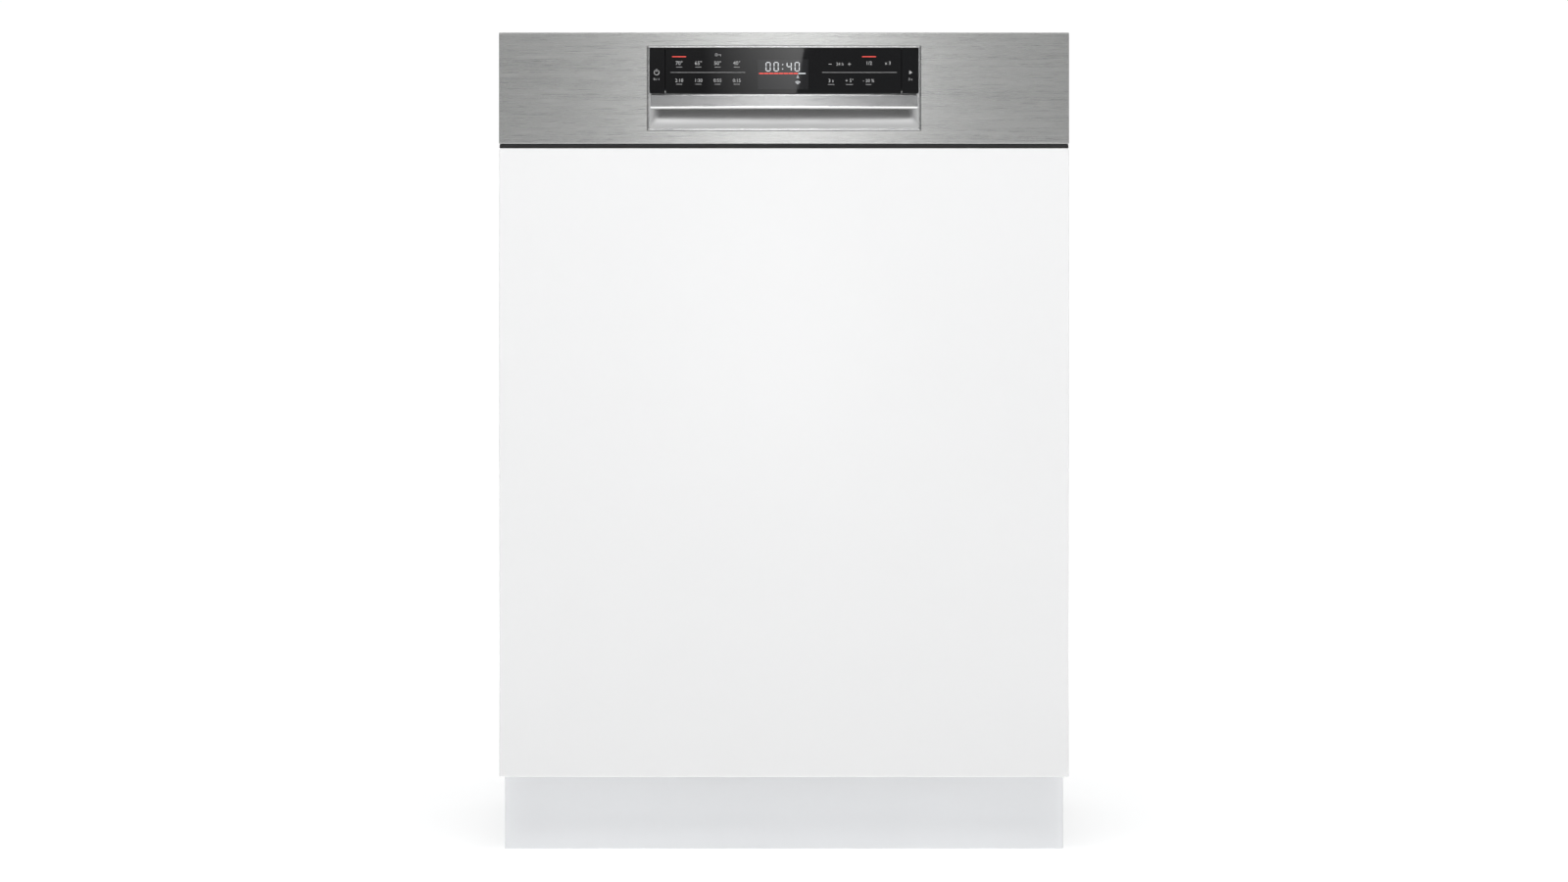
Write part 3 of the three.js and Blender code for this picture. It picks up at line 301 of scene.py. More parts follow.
# ---------------------------------------------------------------- fascia
# Stainless sheet, brushed from side to side, folded back all round and pierced for the control
# and grip module. The folds are rounded by the press.
brushed_steel = Finish("brushed_steel", Metallic=1.0, Anisotropic=0.75, Anisotropic_Rotation=0.25)
streak = brushed_steel.noise(1.0, 6, (13, 1700, 1700), 0.7)
broad_streak = brushed_steel.noise(1.0, 4, (5, 260, 260), 0.6)
fine_streak = brushed_steel.noise(1.0, 3, (50, 4200, 4200), 0.6)
brushed_tone = (streak * 0.45 + broad_streak * 0.2 + fine_streak * 0.35).ranged(0.32, 0.68)
brushed_steel.set(
    Base_Color=brushed_steel.blend(brushed_tone, (0.39, 0.393, 0.387, 1), (0.48, 0.48, 0.473, 1)),
    Roughness=brushed_tone.ranged(0, 1, 0.24, 0.32))
brushed_steel.relief(brushed_tone, 0.00002, 0.7)


def cut(bm, axis, places):
    """Parts the whole mesh across an axis at each place in millimetres."""
    normal = [float(axis == name) for name in "XYZ"]
    for place in places:
        bmesh.ops.bisect_plane(
            bm, geom=bm.verts[:] + bm.edges[:] + bm.faces[:], plane_co=mm(*[place * on for on in normal]),
            plane_no=normal, dist=1e-7)


def faces_in(bm, **spans):
    """The faces whose middles lie within spans of x, y or z in millimetres."""
    return [
        face for face in bm.faces if all(
            low < getattr(face.calc_center_median(), axis) * 1000 < high
            for axis, (low, high) in spans.items())]


def open_up(bm, **spans):
    """Takes the faces out of a part of a sheet."""
    bmesh.ops.delete(bm, geom=faces_in(bm, **spans), context="FACES")


def folds(bm, angle):
    """The edges where two faces meet at more than an angle."""
    return [edge for edge in bm.edges if len(edge.link_faces) == 2 and edge.calc_face_angle() > angle]


def rims(bm):
    return [edge for edge in bm.edges if edge.is_boundary]


def along(edges, test):
    """Those edges whose ends both pass a test of their place in millimetres."""
    return [edge for edge in edges if all(test(vert.co * 1000) for vert in edge.verts)]


def shift(bm, verts, *by):
    bmesh.ops.translate(bm, vec=mm(*by), verts=verts)


def pull(bm, edges, *by):
    """Folds a strip of sheet out from some edges and gives back its new corners."""
    grown = bmesh.ops.extrude_edge_only(bm, edges=edges)["geom"]
    corners = [item for item in grown if isinstance(item, bmesh.types.BMVert)]
    shift(bm, corners, *by)
    return corners


def face_outwards(bm):
    bmesh.ops.recalc_face_normals(bm, faces=bm.faces[:])


def plate_with_window(bm, outer, inner, depth, inner_depth, fold):
    """A plate at the front with a rectangular window, its edges folded back; millimetres."""
    x0, x1, z0, z1 = outer
    grid = bmesh.ops.create_grid(bm, x_segments=1, y_segments=1, size=0.5)["verts"]
    turn(bm, grid, math.pi / 2, "X")
    bmesh.ops.scale(bm, vec=mm(x1 - x0, 1000, z1 - z0), verts=grid)
    shift(bm, grid, (x0 + x1) / 2, front, (z0 + z1) / 2)
    cut(bm, "X", inner[:2])
    cut(bm, "Z", inner[2:])
    open_up(bm, x=inner[:2], z=inner[2:])
    inside = along(rims(bm), lambda at: (
        inner[0] - 0.001 <= at.x <= inner[1] + 0.001 and inner[2] - 0.001 <= at.z <= inner[3] + 0.001))
    outside = [edge for edge in rims(bm) if edge not in inside]
    pull(bm, outside, 0, depth, 0)
    pull(bm, inside, 0, inner_depth, 0)
    face_outwards(bm)
    at_front = [edge for edge in folds(bm, 1) if min(v.co.y for v in edge.verts) * 1000 < front + 0.01]
    bevel(bm, at_front, fold, 4)


bm = bmesh.new()
plate_with_window(bm, (-half_width, half_width, 749, 866), (-143, 143, 763, 852), 19.5, 2.5, 1.1)
fit("steel_fascia", bm, "door", brushed_steel, "fascia", wall=0.9, offset=-1)

# ---------------------------------------------------------------- module frame and scoop
# One silver-lacquered moulding: a narrow bright frame round the controls, and below them a scoop
# whose floor slopes up behind the grip bar so that the fingers slide in.
silver = Finish("silver_lacquer", "silver_plastic", Metallic=0.55)
silver.set(
    Base_Color=silver.blend(silver.cells(2600), grey(0.48), grey(0.58)),
    Roughness=silver.noise(30, 3).ranged(0.3, 0.7, 0.42, 0.5))
silver.relief(silver.noise(1200, 2), 0.00001)
chrome = Finish("satin_chrome", "chrome", Metallic=1.0)
chrome_haze = chrome.noise(1.0, 4, (20, 1500, 1500), 0.6)
chrome.set(
    Base_Color=chrome.blend(chrome_haze, grey(0.74), grey(0.82)),
    Roughness=chrome_haze.ranged(0.3, 0.7, 0.18, 0.22))

bm = bmesh.new()
plate_with_window(bm, (-142.7, 142.7, 763.3, 851.7), (-141.2, 141.2, 765.4, 850.2), 8, 8, 0.35)
bmesh.ops.bridge_loops(bm, edges=rims(bm))
fit("bright_frame", bm, "door", chrome)

bm = bmesh.new()
for corner in block(bm, (-141.4, -286.2, 765.2), (141.4, -257.5, 803), 0):
    if corner.co.y > -0.26:
        corner.co.x *= 0.915
        if corner.co.z < 0.78:
            corner.co.z = 0.7915
open_up(bm, y=(-300, -286))
bmesh.ops.reverse_faces(bm, faces=bm.faces[:])
bevel(bm, folds(bm, 0), 3.2, 5)
fit("grip_scoop", bm, "door", silver, "handle_pocket", sharp=60, wall=1.6, offset=-1)

# ---------------------------------------------------------------- grip bar
# A satin silver bar across the scoop. Its face is bowed forward a little in the middle, and its
# lower edge is well rounded for the fingers.
half_bar, bow = 140.9, 2.8
bm = bmesh.new()
block(bm, (-half_bar, -283.6, 786), (half_bar, -277.5, 801.2), 0)
cut(bm, "X", [-half_bar + 2 * half_bar * step / 40 for step in range(1, 40)])
for corner in bm.verts:
    if corner.co.y < -0.28:
        corner.co.y -= bow * 0.001 * (1 - (corner.co.x / (half_bar * 0.001)) ** 2)
bevel(bm, along(folds(bm, 1), lambda at: at.y < -280 and at.z < 790), 2.6, 6)
bevel(bm, along(folds(bm, 1), lambda at: at.y < -280 and at.z > 801), 1.0, 4)
fit("grip_bar_satin", bm, "door", chrome, "grip_bar", sharp=40)

# ---------------------------------------------------------------- control glass and keys
# Gloss black moulding: a fixed middle pane, and at each end a key that presses in, parted from it by
# a narrow groove. A paler smoked window covers the display.
gloss_black = Finish("gloss_black", "black_glass", Roughness=0.02, Coat_Weight=0.4, Coat_Roughness=0.015)
smear = gloss_black.noise(22, 4)
gloss_black.set(
    Base_Color=gloss_black.blend(smear, (0.0035, 0.0035, 0.004, 1), (0.005, 0.005, 0.0055, 1)),
    Roughness=smear.ranged(0.35, 0.65, 0.012, 0.03))
smoked = Finish("smoked_window", "black_glass", Roughness=0.02, Coat_Weight=0.4, Coat_Roughness=0.015)
smoked.set(
    Base_Color=smoked.blend(smoked.noise(18, 3), (0.013, 0.013, 0.014, 1), (0.016, 0.016, 0.0175, 1)),
    Roughness=smoked.noise(25, 3).ranged(0.35, 0.65, 0.015, 0.03))

pane_face, pane_foot, pane_top = -286.3, 801.8, 849.9
bm = bmesh.new()
block(bm, (-124.3, pane_face, pane_foot), (123.0, pane_face + 3, pane_top), 0.35, 3)
fit("glass_pane", bm, "door", gloss_black, "control_window")
for name, x0, x1 in (("power", -140.9, -124.9), ("start", 123.6, 140.9)):
    bm = bmesh.new()
    block(bm, (x0, pane_face, pane_foot), (x1, pane_face + 5, pane_top), 0.35, 3)
    block(bm, (x0 + 3, -281.6, 815), (x1 - 3, -280.5, 836), 0.2, 1)
    fit(f"{name}_key_cap", bm, f"{name}_button", gloss_black, f"{name}_button")
bm = bmesh.new()
block(bm, (-27.3, -286.34, 806.5), (25.2, -286.2, 837.8), 0.04, 1)
fit("display_window", bm, "door", smoked)

# ---------------------------------------------------------------- printed marks and display
# Pale marks printed on the pane: temperatures and times over and under a fine rule, plain signs, and
# a red light over the chosen programme. Behind the smoked window four figures show the time left.
# The pale grey is the print's own colour; the faint white emission on top is a painted glow, since printed
# marks give no light.
ink_and_glow = Finish("pale_ink_and_glow", "black_glass", Roughness=0.5, Emission_Color=grey(1), Emission_Strength=0.05)
ink_and_glow.set(Base_Color=ink_and_glow.blend(ink_and_glow.noise(700, 3).ranged(0.35, 0.65), grey(0.36), grey(0.5)))


def lit(name, base, strength, first, second):
    """A glowing finish that is a little uneven."""
    glow = Finish(name, "black_glass", Roughness=0.4, Base_Color=base, Emission_Strength=strength)
    return glow.set(Emission_Color=glow.blend(glow.noise(500, 2), first, second))


figure_light = lit("figure_light", grey(0.3), 0.62, (0.72, 0.76, 0.8, 1), (0.85, 0.88, 0.92, 1))
red_light = lit("red_light", (0.3, 0.02, 0.02, 1), 0.9, (0.8, 0.05, 0.04, 1), (1.0, 0.14, 0.1, 1))
display_face = -286.36


def mark(bm, x, z, width, height, face=pane_face):
    block(bm, (x - width / 2, face - 0.06, z - height / 2), (x + width / 2, face + 0.02, z + height / 2),
          0.015, 1)


def sweep(bm, outline, angle, steps, climb=0.0):
    """Sweeps a closed outline of (radius, height) points round the Z axis, rising a little each step."""
    before = set(bm.verts)
    face = bm.faces.new([bm.verts.new(mm(radius, 0, height)) for radius, height in outline])
    bmesh.ops.spin(
        bm, geom=[face], cent=(0, 0, 0), axis=(0, 0, 1), angle=angle, steps=steps, dvec=mm(0, 0, climb),
        use_duplicate=False)
    swept = [vert for vert in bm.verts if vert not in before]
    bmesh.ops.recalc_face_normals(bm, faces=list({face for vert in swept for face in vert.link_faces}))
    return swept


def ring_mark(bm, x, z, radius, width, start, stop, face=pane_face):
    """An arc of a flat ring, from one angle to another in degrees."""
    inner, outer = radius - width / 2, radius + width / 2
    arc = sweep(
        bm, ((inner, -0.04), (outer, -0.04), (outer, 0.04), (inner, 0.04)), math.radians(stop - start), 14)
    upright = Matrix.Rotation(math.pi / 2, 3, "X") @ Matrix.Rotation(math.radians(start), 3, "Z")
    bmesh.ops.rotate(bm, cent=(0, 0, 0), matrix=upright, verts=arc)
    shift(bm, arc, x, face - 0.02, z)


def words(text, x, z, height):
    """Figures as a thin mesh, centred at x, z on the pane."""
    curve = bpy.data.curves.new("figures", "FONT")
    curve.body, curve.size, curve.extrude = text, height * 0.00139, 0.00004
    curve.align_x, curve.align_y = "CENTER", "CENTER"
    curve.resolution_u = 3
    holder = bpy.data.objects.new("figures", curve)
    mesh = bpy.data.meshes.new_from_object(holder)
    mesh.transform(Matrix.Translation(mm(x, pane_face - 0.03, z)) @ Matrix.Rotation(math.pi / 2, 4, "X"))
    bpy.data.objects.remove(holder)
    bpy.data.curves.remove(curve)
    return mesh


def figure(bm, x, z, shown, width=4.4, height=9.0):
    """A seven-bar figure: which of top, upper right, lower right, foot, lower left, upper left, middle."""
    bar, half = 0.95, height / 4
    upright = (bar, height / 2 - 0.9)
    bars = [
        (x, z + height / 2, width - 1, bar), (x + width / 2, z + half, *upright),
        (x + width / 2, z - half, *upright), (x, z - height / 2, width - 1, bar),
        (x - width / 2, z - half, *upright), (x - width / 2, z + half, *upright), (x, z, width - 1, bar)]
    for index in shown:
        mark(bm, *bars[index], display_face)


zero, four = (0, 1, 2, 3, 4, 5), (1, 2, 5, 6)
bm = bmesh.new()
for at, shown in zip((-16.6, -8.2, 5.4, 13.8), (zero, zero, four, zero)):
    figure(bm, at, 830, shown)
for x, z, width, height in ((-1.4, 832.2, 1.1, 1.1), (-1.4, 827.6, 1.1, 1.1), (18.8, 822.9, 7.6, 1.1)):
    mark(bm, x, z, width, height, display_face)
for radius in (1.3, 2.5, 3.7):
    ring_mark(bm, 14.4, 811.0, radius, 0.55, 45, 135, display_face)
mark(bm, 14.4, 818.6, 2.6, 0.6, display_face)
mark(bm, 14.4, 820.0, 0.6, 2.4, display_face)
fit("display_figures", bm, "door", figure_light)

bm = bmesh.new()
for step in range(8):
    mark(bm, -23.8 + step * 5.15, 822.9, 4.7, 1.2, display_face)
for x in (-110.0, 89.2):
    mark(bm, x, 840.5, 14.6, 0.9)
fit("red_lights", bm, "door", red_light)

bm = bmesh.new()
rule_z, power_x, start_x = 824.0, -133.6, 132.5
mark(bm, -80.0, rule_z, 78.5, 0.35)
mark(bm, 79.0, rule_z, 78.3, 0.35)
ring_mark(bm, power_x, rule_z, 2.6, 0.6, 120, 420)
for row in (
    (power_x, 826.2, 0.6, 3.0), (48.3, 832.7, 3.2, 0.6), (68.6, 832.7, 3.2, 0.6), (68.6, 832.7, 0.6, 3.2),
):
    mark(bm, *row)
ring_mark(bm, -71.0, 842.5, 1.2, 0.45, 0, 359)
mark(bm, -67.9, 842.5, 4.0, 0.45)
mark(bm, -66.4, 841.6, 0.45, 1.6)
columns = (-109.9, -89.8, -69.6, -49.5)
for column in columns:
    mark(bm, column, 829.6, 6.4, 0.4)
    mark(bm, column, 811.6, 6.4, 0.4)
for column, width in ((49.3, 7.0), (68.6, 7.6), (88.7, 6.0)):
    mark(bm, column, 811.3, width, 0.4)
triangle = bmesh.ops.create_cone(
    bm, cap_ends=True, segments=3, radius1=0.0022, radius2=0.0022, depth=0.00008)["verts"]
turn(bm, triangle, -math.pi / 2, "Z")
turn(bm, triangle, math.pi / 2, "X")
shift(bm, triangle, start_x, pane_face - 0.02, rule_z)
for text, x, z, height in (
    *[(text, x, 833.6, 4.0) for text, x in zip(("70°", "65°", "50°", "40°"), columns)],
    *[(text, x, 815.4, 3.6) for text, x in zip(("2:10", "1:30", "0:55", "0:15"), columns)],
    ("24 h", 58.6, 832.7, 3.2), ("1/2", 89.1, 833.6, 3.8), ("x 3", 108.9, 833.6, 3.6),
    ("3 s", 49.3, 815.2, 3.6), ("+ 5°", 68.6, 815.2, 3.6), ("- 20 %", 88.7, 815.2, 3.4),
    ("3 s", start_x, 816.8, 2.6), ("0 / 1", power_x, 816.8, 2.6),
):
    printed = words(text, x, z, height)
    bm.from_mesh(printed)
    bpy.data.meshes.remove(printed)
on_keys = [vert for vert in bm.verts if not -0.1243 < vert.co.x < 0.1232]
for name, side in (("power", -1), ("start", 1)):
    own = bm.copy()
    bmesh.ops.delete(own, geom=[v for v in own.verts if v.co.x * side < 0.1236], context="VERTS")
    fit(f"{name}_key_marks", own, f"{name}_button", ink_and_glow)
bmesh.ops.delete(bm, geom=on_keys, context="VERTS")
fit("pane_marks", bm, "door", ink_and_glow)

# ---------------------------------------------------------------- feet
# Glass-filled nylon screw feet: a round sole with a dished rim, a hexagon for the spanner and a
# threaded spindle that turns up into the base tray. The two in front and the one at the rear match.
black_plastic = grained(
    "black_plastic", (14, 4), (grey(0.016), grey(0.026)), 1400, (0.48, 0.62), 0.00006, Roughness=0.55)


def limits(node):
    """A CAD node's lowest and highest corners, in millimetres."""
    low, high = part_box(node)
    return [value * 1000 for value in low], [value * 1000 for value in high]


def stand(bm, verts, centre, axis):
    """Turns what was made about Z to another axis, then moves it to its centre."""
    if axis != "Z":
        turn(bm, verts, *((math.pi / 2, "Y") if axis == "X" else (-math.pi / 2, "X")))
    shift(bm, verts, *centre)


def lathe(bm, outline, centre, axis="Z", steps=32):
    """Turns an outline of (radius, height) points about an axis; one that starts and ends off the axis
    closes on itself as a ring, and one loose end is carried in to the axis."""
    outline = list(outline)
    ring = outline[0][0] > 0 and outline[-1][0] > 0
    if not ring and outline[0][0] > 0:
        outline.insert(0, (0, outline[0][1]))
    if not ring and outline[-1][0] > 0:
        outline.append((0, outline[-1][1]))
    points = [bm.verts.new(mm(radius, 0, height)) for radius, height in outline]
    edges = [bm.edges.new(pair) for pair in zip(points, points[1:] + points[:1] * ring)]
    before = set(bm.faces)
    bmesh.ops.spin(
        bm, geom=points + edges, cent=(0, 0, 0), axis=(0, 0, 1), angle=2 * math.pi, steps=steps,
        use_merge=True, use_duplicate=False)
    faces = [face for face in bm.faces if face not in before]
    verts = list({vert for face in faces for vert in face.verts})
    poles = [vert for vert in verts if abs(vert.co.x) < 1e-7 and abs(vert.co.y) < 1e-7]
    bmesh.ops.remove_doubles(bm, verts=poles, dist=1e-6)
    verts = [vert for vert in verts if vert.is_valid]
    bmesh.ops.recalc_face_normals(bm, faces=[face for face in faces if face.is_valid])
    stand(bm, verts, centre, axis)
    return verts


def thread(bm, radius, low, high, pitch, centre, axis="Z"):
    """A raised helical thread on a shank."""
    turns, steps = (high - low) / pitch - 1, 14
    root, crest = radius - 0.3, radius + pitch * 0.42
    section = ((root, low), (crest, low + pitch / 2), (root, low + pitch * 0.94))
    ridge = sweep(bm, section, 2 * math.pi * turns, round(turns * steps), pitch / steps)
    stand(bm, ridge, centre, axis)


for foot in ("front_foot_left", "front_foot_right", "rear_foot"):
    low, high = limits(foot)
    at = ((low[0] + high[0]) / 2, (low[1] + high[1]) / 2, low[2])
    sole, tall = (high[0] - low[0]) / 2, high[2] - low[2]
    bm = bmesh.new()
    lathe(bm, (
        (0, 1.2), (sole - 5, 1.2), (sole - 4, 0), (sole - 1.2, 0), (sole, 1.4), (sole, 5.5),
        (sole - 1.5, 7.4), (sole - 4, 8), (sole - 6, 6.6), (11, 6.2), (9.5, 7.6), (9, 9), (0, 9)),
        at, steps=48)
    for spoke in range(8):
        rib = block(bm, (9, -0.8, 5.8), (sole - 3.4, 0.8, 7.7), 0)
        turn(bm, rib, spoke * math.pi / 4, "Z")
        shift(bm, rib, at[0], at[1], 0)
    point = 15.6 / 1732
    hexagon = bmesh.ops.create_cone(
        bm, cap_ends=True, segments=6, radius1=point, radius2=point, depth=0.0025)["verts"]
    shift(bm, hexagon, at[0], at[1], at[2] + 9.75)
    bevel(bm, {edge for vert in hexagon for edge in vert.link_edges}, 0.5, 2)
    lathe(bm, ((0, 9), (4.2, 9), (4.2, tall - 1), (3.2, tall), (0, tall)), at, steps=20)
    thread(bm, 4.2, 11.5, tall - 1.5, 1.9, at)
    fit(f"screw_{foot}", bm, foot, black_plastic, foot)


# ---------------------------------------------------------------- base tray
# A black moulded tray that carries the whole appliance and catches leaks. Upright ribs stiffen its
# walls, a drip channel runs along its front's upper edge, and more ribs cross its floor.
def coat(finish, node):
    """Gives a finish to a CAD piece whose shape is shown as it is."""
    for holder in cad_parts[node].material_slots:
        holder.material = finish.material


coat(black_plastic, "base_tray")
low, high = limits("base_tray")
tray_front = low[1]
bm = bmesh.new()
for step in range(13):
    x = low[0] + 24 + step * (high[0] - low[0] - 48) / 12
    if abs(abs(x) - bracket_x) > 14:
        block(bm, (x - 1.2, tray_front - 2.2, low[2] + 4), (x + 1.2, tray_front + 0.5, high[2] - 6), 0.4, 2)
block(bm, (low[0] + 6, tray_front - 3, high[2] - 6), (high[0] - 6, tray_front + 0.5, high[2] - 3), 0.6, 2)
for x in (-230, -70, -20, 40, 90, 130, 260):
    block(bm, (x - 1.2, high[1] - 0.5, low[2] + 4), (x + 1.2, high[1] + 1.8, high[2] - 8), 0.4, 2)
for step in range(12):
    for x in (-235, 235):
        y = tray_front + 30 + step * 36
        block(bm, (x - 30, y - 1.2, low[2] - 1.8), (x + 30, y + 1.2, low[2] + 0.5), 0.4, 2)
fit("tray_ribs", bm, "cabinet", black_plastic)

# ---------------------------------------------------------------- side panels
# Galvanised sheet, pressed with three shallow fields so that it doesn't drum, and folded round at
# the front and back. Pan-head screws hold it to the base tray and the tub.
galvanised = Finish("galvanised_sheet", "galvanised", Metallic=1.0)
spangle = galvanised.cells(150, "Color")
rolled = galvanised.noise(1.0, 4, (800, 14, 14), 0.6)
galvanised.set(
    Base_Color=galvanised.blend(
        spangle * 0.6 + galvanised.noise(9, 4) * 0.4,
        grey(0.33, (0.97, 0.99, 1.0)), grey(0.46, (0.98, 1.0, 1.0))),
    Roughness=(spangle * 0.5 + rolled * 0.5).ranged(0.2, 0.8, 0.34, 0.5))
galvanised.relief(spangle + rolled, 0.00001, 0.6)
hands = ((1, "right"), (-1, "left"))


def pan_screw(bm, x, y, z, axis, radius=4.2):
    """A pan-head screw, its head standing along an axis such as '+X'."""
    sign = 1 if axis[0] == "+" else -1
    head = lathe(bm, (
        (0, 0.9), (radius * 0.28, 0.9), (radius * 0.34, 1.75), (radius * 0.62, 1.6), (radius * 0.92, 1.0),
        (radius, 0.35), (radius, 0), (0, 0)), (0, 0, 0), steps=18)
    quarter = math.pi / 2 * sign
    turns = {"X": (quarter, "Y"), "Y": (-quarter, "X"), "Z": (0 if sign > 0 else math.pi, "X")}
    turn(bm, head, *turns[axis[1]])
    shift(bm, head, x, y, z)


def screws(name, body, finish, places, radius=4.2, axis=None):
    """A row of screws as one piece. With no axis given they face outwards from the middle."""
    bm = bmesh.new()
    for x, y, z in places:
        pan_screw(bm, x, y, z, axis or ("+X" if x > 0 else "-X"), radius)
    fit(name, bm, body, finish)


def sheet_field(bm, axis, plane, frame_limits, cuts, raise_by, corner):
    """A flat sheet across an axis. It is parted at the cuts each way, and the fields that come third
    in the cuts are pressed in by raise_by millimetres."""
    (a0, a1), (b0, b1) = frame_limits
    grid = bmesh.ops.create_grid(bm, x_segments=1, y_segments=1, size=0.5)["verts"]
    bmesh.ops.scale(bm, vec=mm(a1 - a0, b1 - b0, 1000), verts=grid)
    shift(bm, grid, (a0 + a1) / 2, (b0 + b1) / 2, 0)
    cut(bm, "X", cuts[0])
    cut(bm, "Y", cuts[1])
    for across, up in cuts[2]:
        pressed = faces_in(bm, x=across, y=up)
        bmesh.ops.inset_region(bm, faces=pressed, thickness=corner * 0.001, use_even_offset=True)
        shift(bm, list({vert for face in pressed for vert in face.verts}), 0, 0, raise_by)
    if axis == "X":
        upright = Matrix(((0, 0, 1), (1, 0, 0), (0, 1, 0)))
    else:
        upright = Matrix(((1, 0, 0), (0, 0, 1), (0, 1, 0)))
    bmesh.ops.transform(bm, matrix=upright.to_4x4(), space=Matrix(), verts=bm.verts[:])
    shift(bm, bm.verts[:], *((plane, 0, 0) if axis == "X" else (0, plane, 0)))


low, high = limits("side_panel_right")
panel_front, panel_step = limits("tub")[0][1] + 1.3, 180.0
pressed_y = (tray_front + 45, 235)
for side, hand in hands:
    bm = bmesh.new()
    sheet_field(
        bm, "X", side * (high[0] - 0.5), ((panel_front, high[1] - 0.4), (low[2], high[2] - 0.1)),
        ((tray_front, *pressed_y), (panel_step, 215, 330, 385, 560, 615, 800),
         [(pressed_y, up) for up in ((215, 330), (385, 560), (615, 800))]), -side * 2.6, 9)
    open_up(bm, y=(-999, tray_front), z=(-999, panel_step))
    bevel(bm, folds(bm, 0.1), 2.2, 3)
    rim = rims(bm)
    for test, reach in (
        (lambda at: at.y > high[1] - 1, 9), (lambda at: at.y < panel_front + 0.5, 11.5),
        (lambda at: at.z < low[2] + 0.5 and at.y > tray_front - 1, 7),
    ):
        pull(bm, along([edge for edge in rim if edge.is_valid], test), -side * reach, 0, 0)
    bevel(bm, folds(bm, 1.2), 0.9, 3)
    face_outwards(bm)
    fit(f"pressed_side_{hand}", bm, "cabinet", galvanised, f"side_panel_{hand}", wall=0.8)
    screws(f"side_screws_{hand}", "cabinet", galvanised, [(side * (high[0] - 1.7), y, z) for y, z in (
        (-130, 84), (-20, 84), (110, 84), (240, 84), (-150, 200), (255, 200), (-190, 590), (255, 590),
        (-190, 840), (255, 840))])

# ---------------------------------------------------------------- rear panel
# A galvanised sheet across the back, with long upright swages and a slot at the foot for the hoses.
# It is screwed to the flanges of the sides.
low, high = limits("rear_panel")
columns = [(-262, -182), (-150, -70), (-40, 40), (70, 150), (182, 262)]
slot_x, slot_top = 60, 173
cuts_x = sorted({x for pair in columns for x in pair} | {-slot_x, slot_x})
bm = bmesh.new()
sheet_field(
    bm, "Y", high[1] - 0.5, ((low[0], high[0]), (low[2], high[2] - 0.2)),
    (cuts_x, (slot_top, 215, 520, 560, 820),
     [(pair, up) for pair in columns for up in ((215, 520), (560, 820))]), -2.4, 8)
open_up(bm, x=(-slot_x, slot_x), z=(-999, slot_top))
bevel(bm, folds(bm, 0.1), 2, 3)
pull(bm, along(rims(bm), lambda at: at.z > high[2] - 1), 0, -30, 0)
bevel(bm, folds(bm, 1.2), 0.9, 3)
face_outwards(bm)
fit("pressed_rear_panel", bm, "cabinet", galvanised, "rear_panel", wall=0.8)
screws(
    "rear_screws", "cabinet", galvanised,
    [(x, high[1] - 1.8, z) for x in (-288, 288) for z in (176, 340, 540, 700, 850)], 3.8, "+Y")

# ---------------------------------------------------------------- top rail
# A folded steel rail joins the sides above the door. Two screws through it hold the appliance to the
# worktop, and the strike that the lock closes on is riveted under its middle.
low, high = limits("front_top_rail")
rail_front, rail_back, strike_low = limits("side_panel_right")[0][1], high[1], 862.2
bm = bmesh.new()
block(bm, (low[0], rail_front, high[2] - 1), (high[0], rail_back, high[2]), 0.3, 2)
for y, z in ((rail_front, low[2]), (rail_back - 1, high[2] - 11)):
    block(bm, (low[0] + 14, y, z), (high[0] - 14, y + 1, high[2] - 0.4), 0.3, 2)
for x in range(-240, 241, 120):
    block(bm, (x - 34, rail_front + 13, high[2] - 0.9), (x + 34, rail_back - 14, high[2]), 0.4, 2)
for x in (-209, 209):
    lathe(bm, ((3, -0.2), (3.1, 0.0), (6.5, 0.0), (6.5, -1.1), (3, -1.1)),
          (x, (rail_front + rail_back) / 2, high[2]), steps=28)
fit("folded_top_rail", bm, "cabinet", galvanised, "front_top_rail")
bm = bmesh.new()
block(bm, (-8, low[1], strike_low), (8, rail_front + 1, strike_low + 2), 0.7, 3)
for x in (-5, 5):
    pan_screw(bm, x, rail_front + 0.9, 857, "+Y", 2.6)
fit("lock_strike", bm, "cabinet", galvanised)

# ---------------------------------------------------------------- sound mat
# A bitumen felt mat is bonded to the top of the tub to deaden it. Its edges are cut square and it
# lies in soft, shallow waves.
felt = Finish("bitumen_felt", "rubber", Roughness=0.95)
fibres = felt.noise(420, 6, (1, 1, 1), 0.7)
felt.set(Base_Color=felt.blend(fibres.ranged(0.35, 0.65), grey(0.016), grey(0.05)))
felt.relief(fibres, 0.0006)
bm = bmesh.new()
made = bmesh.ops.create_grid(bm, x_segments=36, y_segments=28, size=0.5)["verts"]
bmesh.ops.scale(bm, vec=mm(522, 408, 1000), verts=made)
shift(bm, made, 0, 45, 843.4)
for corner in made:
    corner.co.z += 0.0005 * (1 + math.sin(corner.co.x * 31) * math.cos(corner.co.y * 27))


def thicken(bm, faces, *by):
    """Draws some faces out into a body."""
    grown = bmesh.ops.extrude_face_region(bm, geom=faces)["geom"]
    shift(bm, [item for item in grown if isinstance(item, bmesh.types.BMVert)], *by)


thicken(bm, bm.faces[:], 0, 0, 2.4)
face_outwards(bm)
bevel(bm, folds(bm, 1), 0.5, 2)
fit("sound_mat", bm, "cabinet", felt)

# ---------------------------------------------------------------- tub
# Deep-drawn and folded from bright stainless sheet: well-rounded corners, a ledge low down on each
# side for the lower rack's wheels, a floor that falls to the sump, and a flange round the mouth.
stainless = Finish("bright_stainless", "stainless", Metallic=1.0)
drawn = stainless.noise(1.0, 4, (420, 420, 9), 0.6)
drawn_haze = drawn * 0.5 + stainless.noise(5, 4) * 0.5
warm = (1.0, 0.995, 0.985)
stainless.set(
    Base_Color=stainless.blend(drawn_haze, grey(0.66, warm), grey(0.72, warm)),
    Roughness=drawn_haze.ranged(0.3, 0.7, 0.27, 0.33))
stainless.relief(drawn, 0.000004, 0.4)


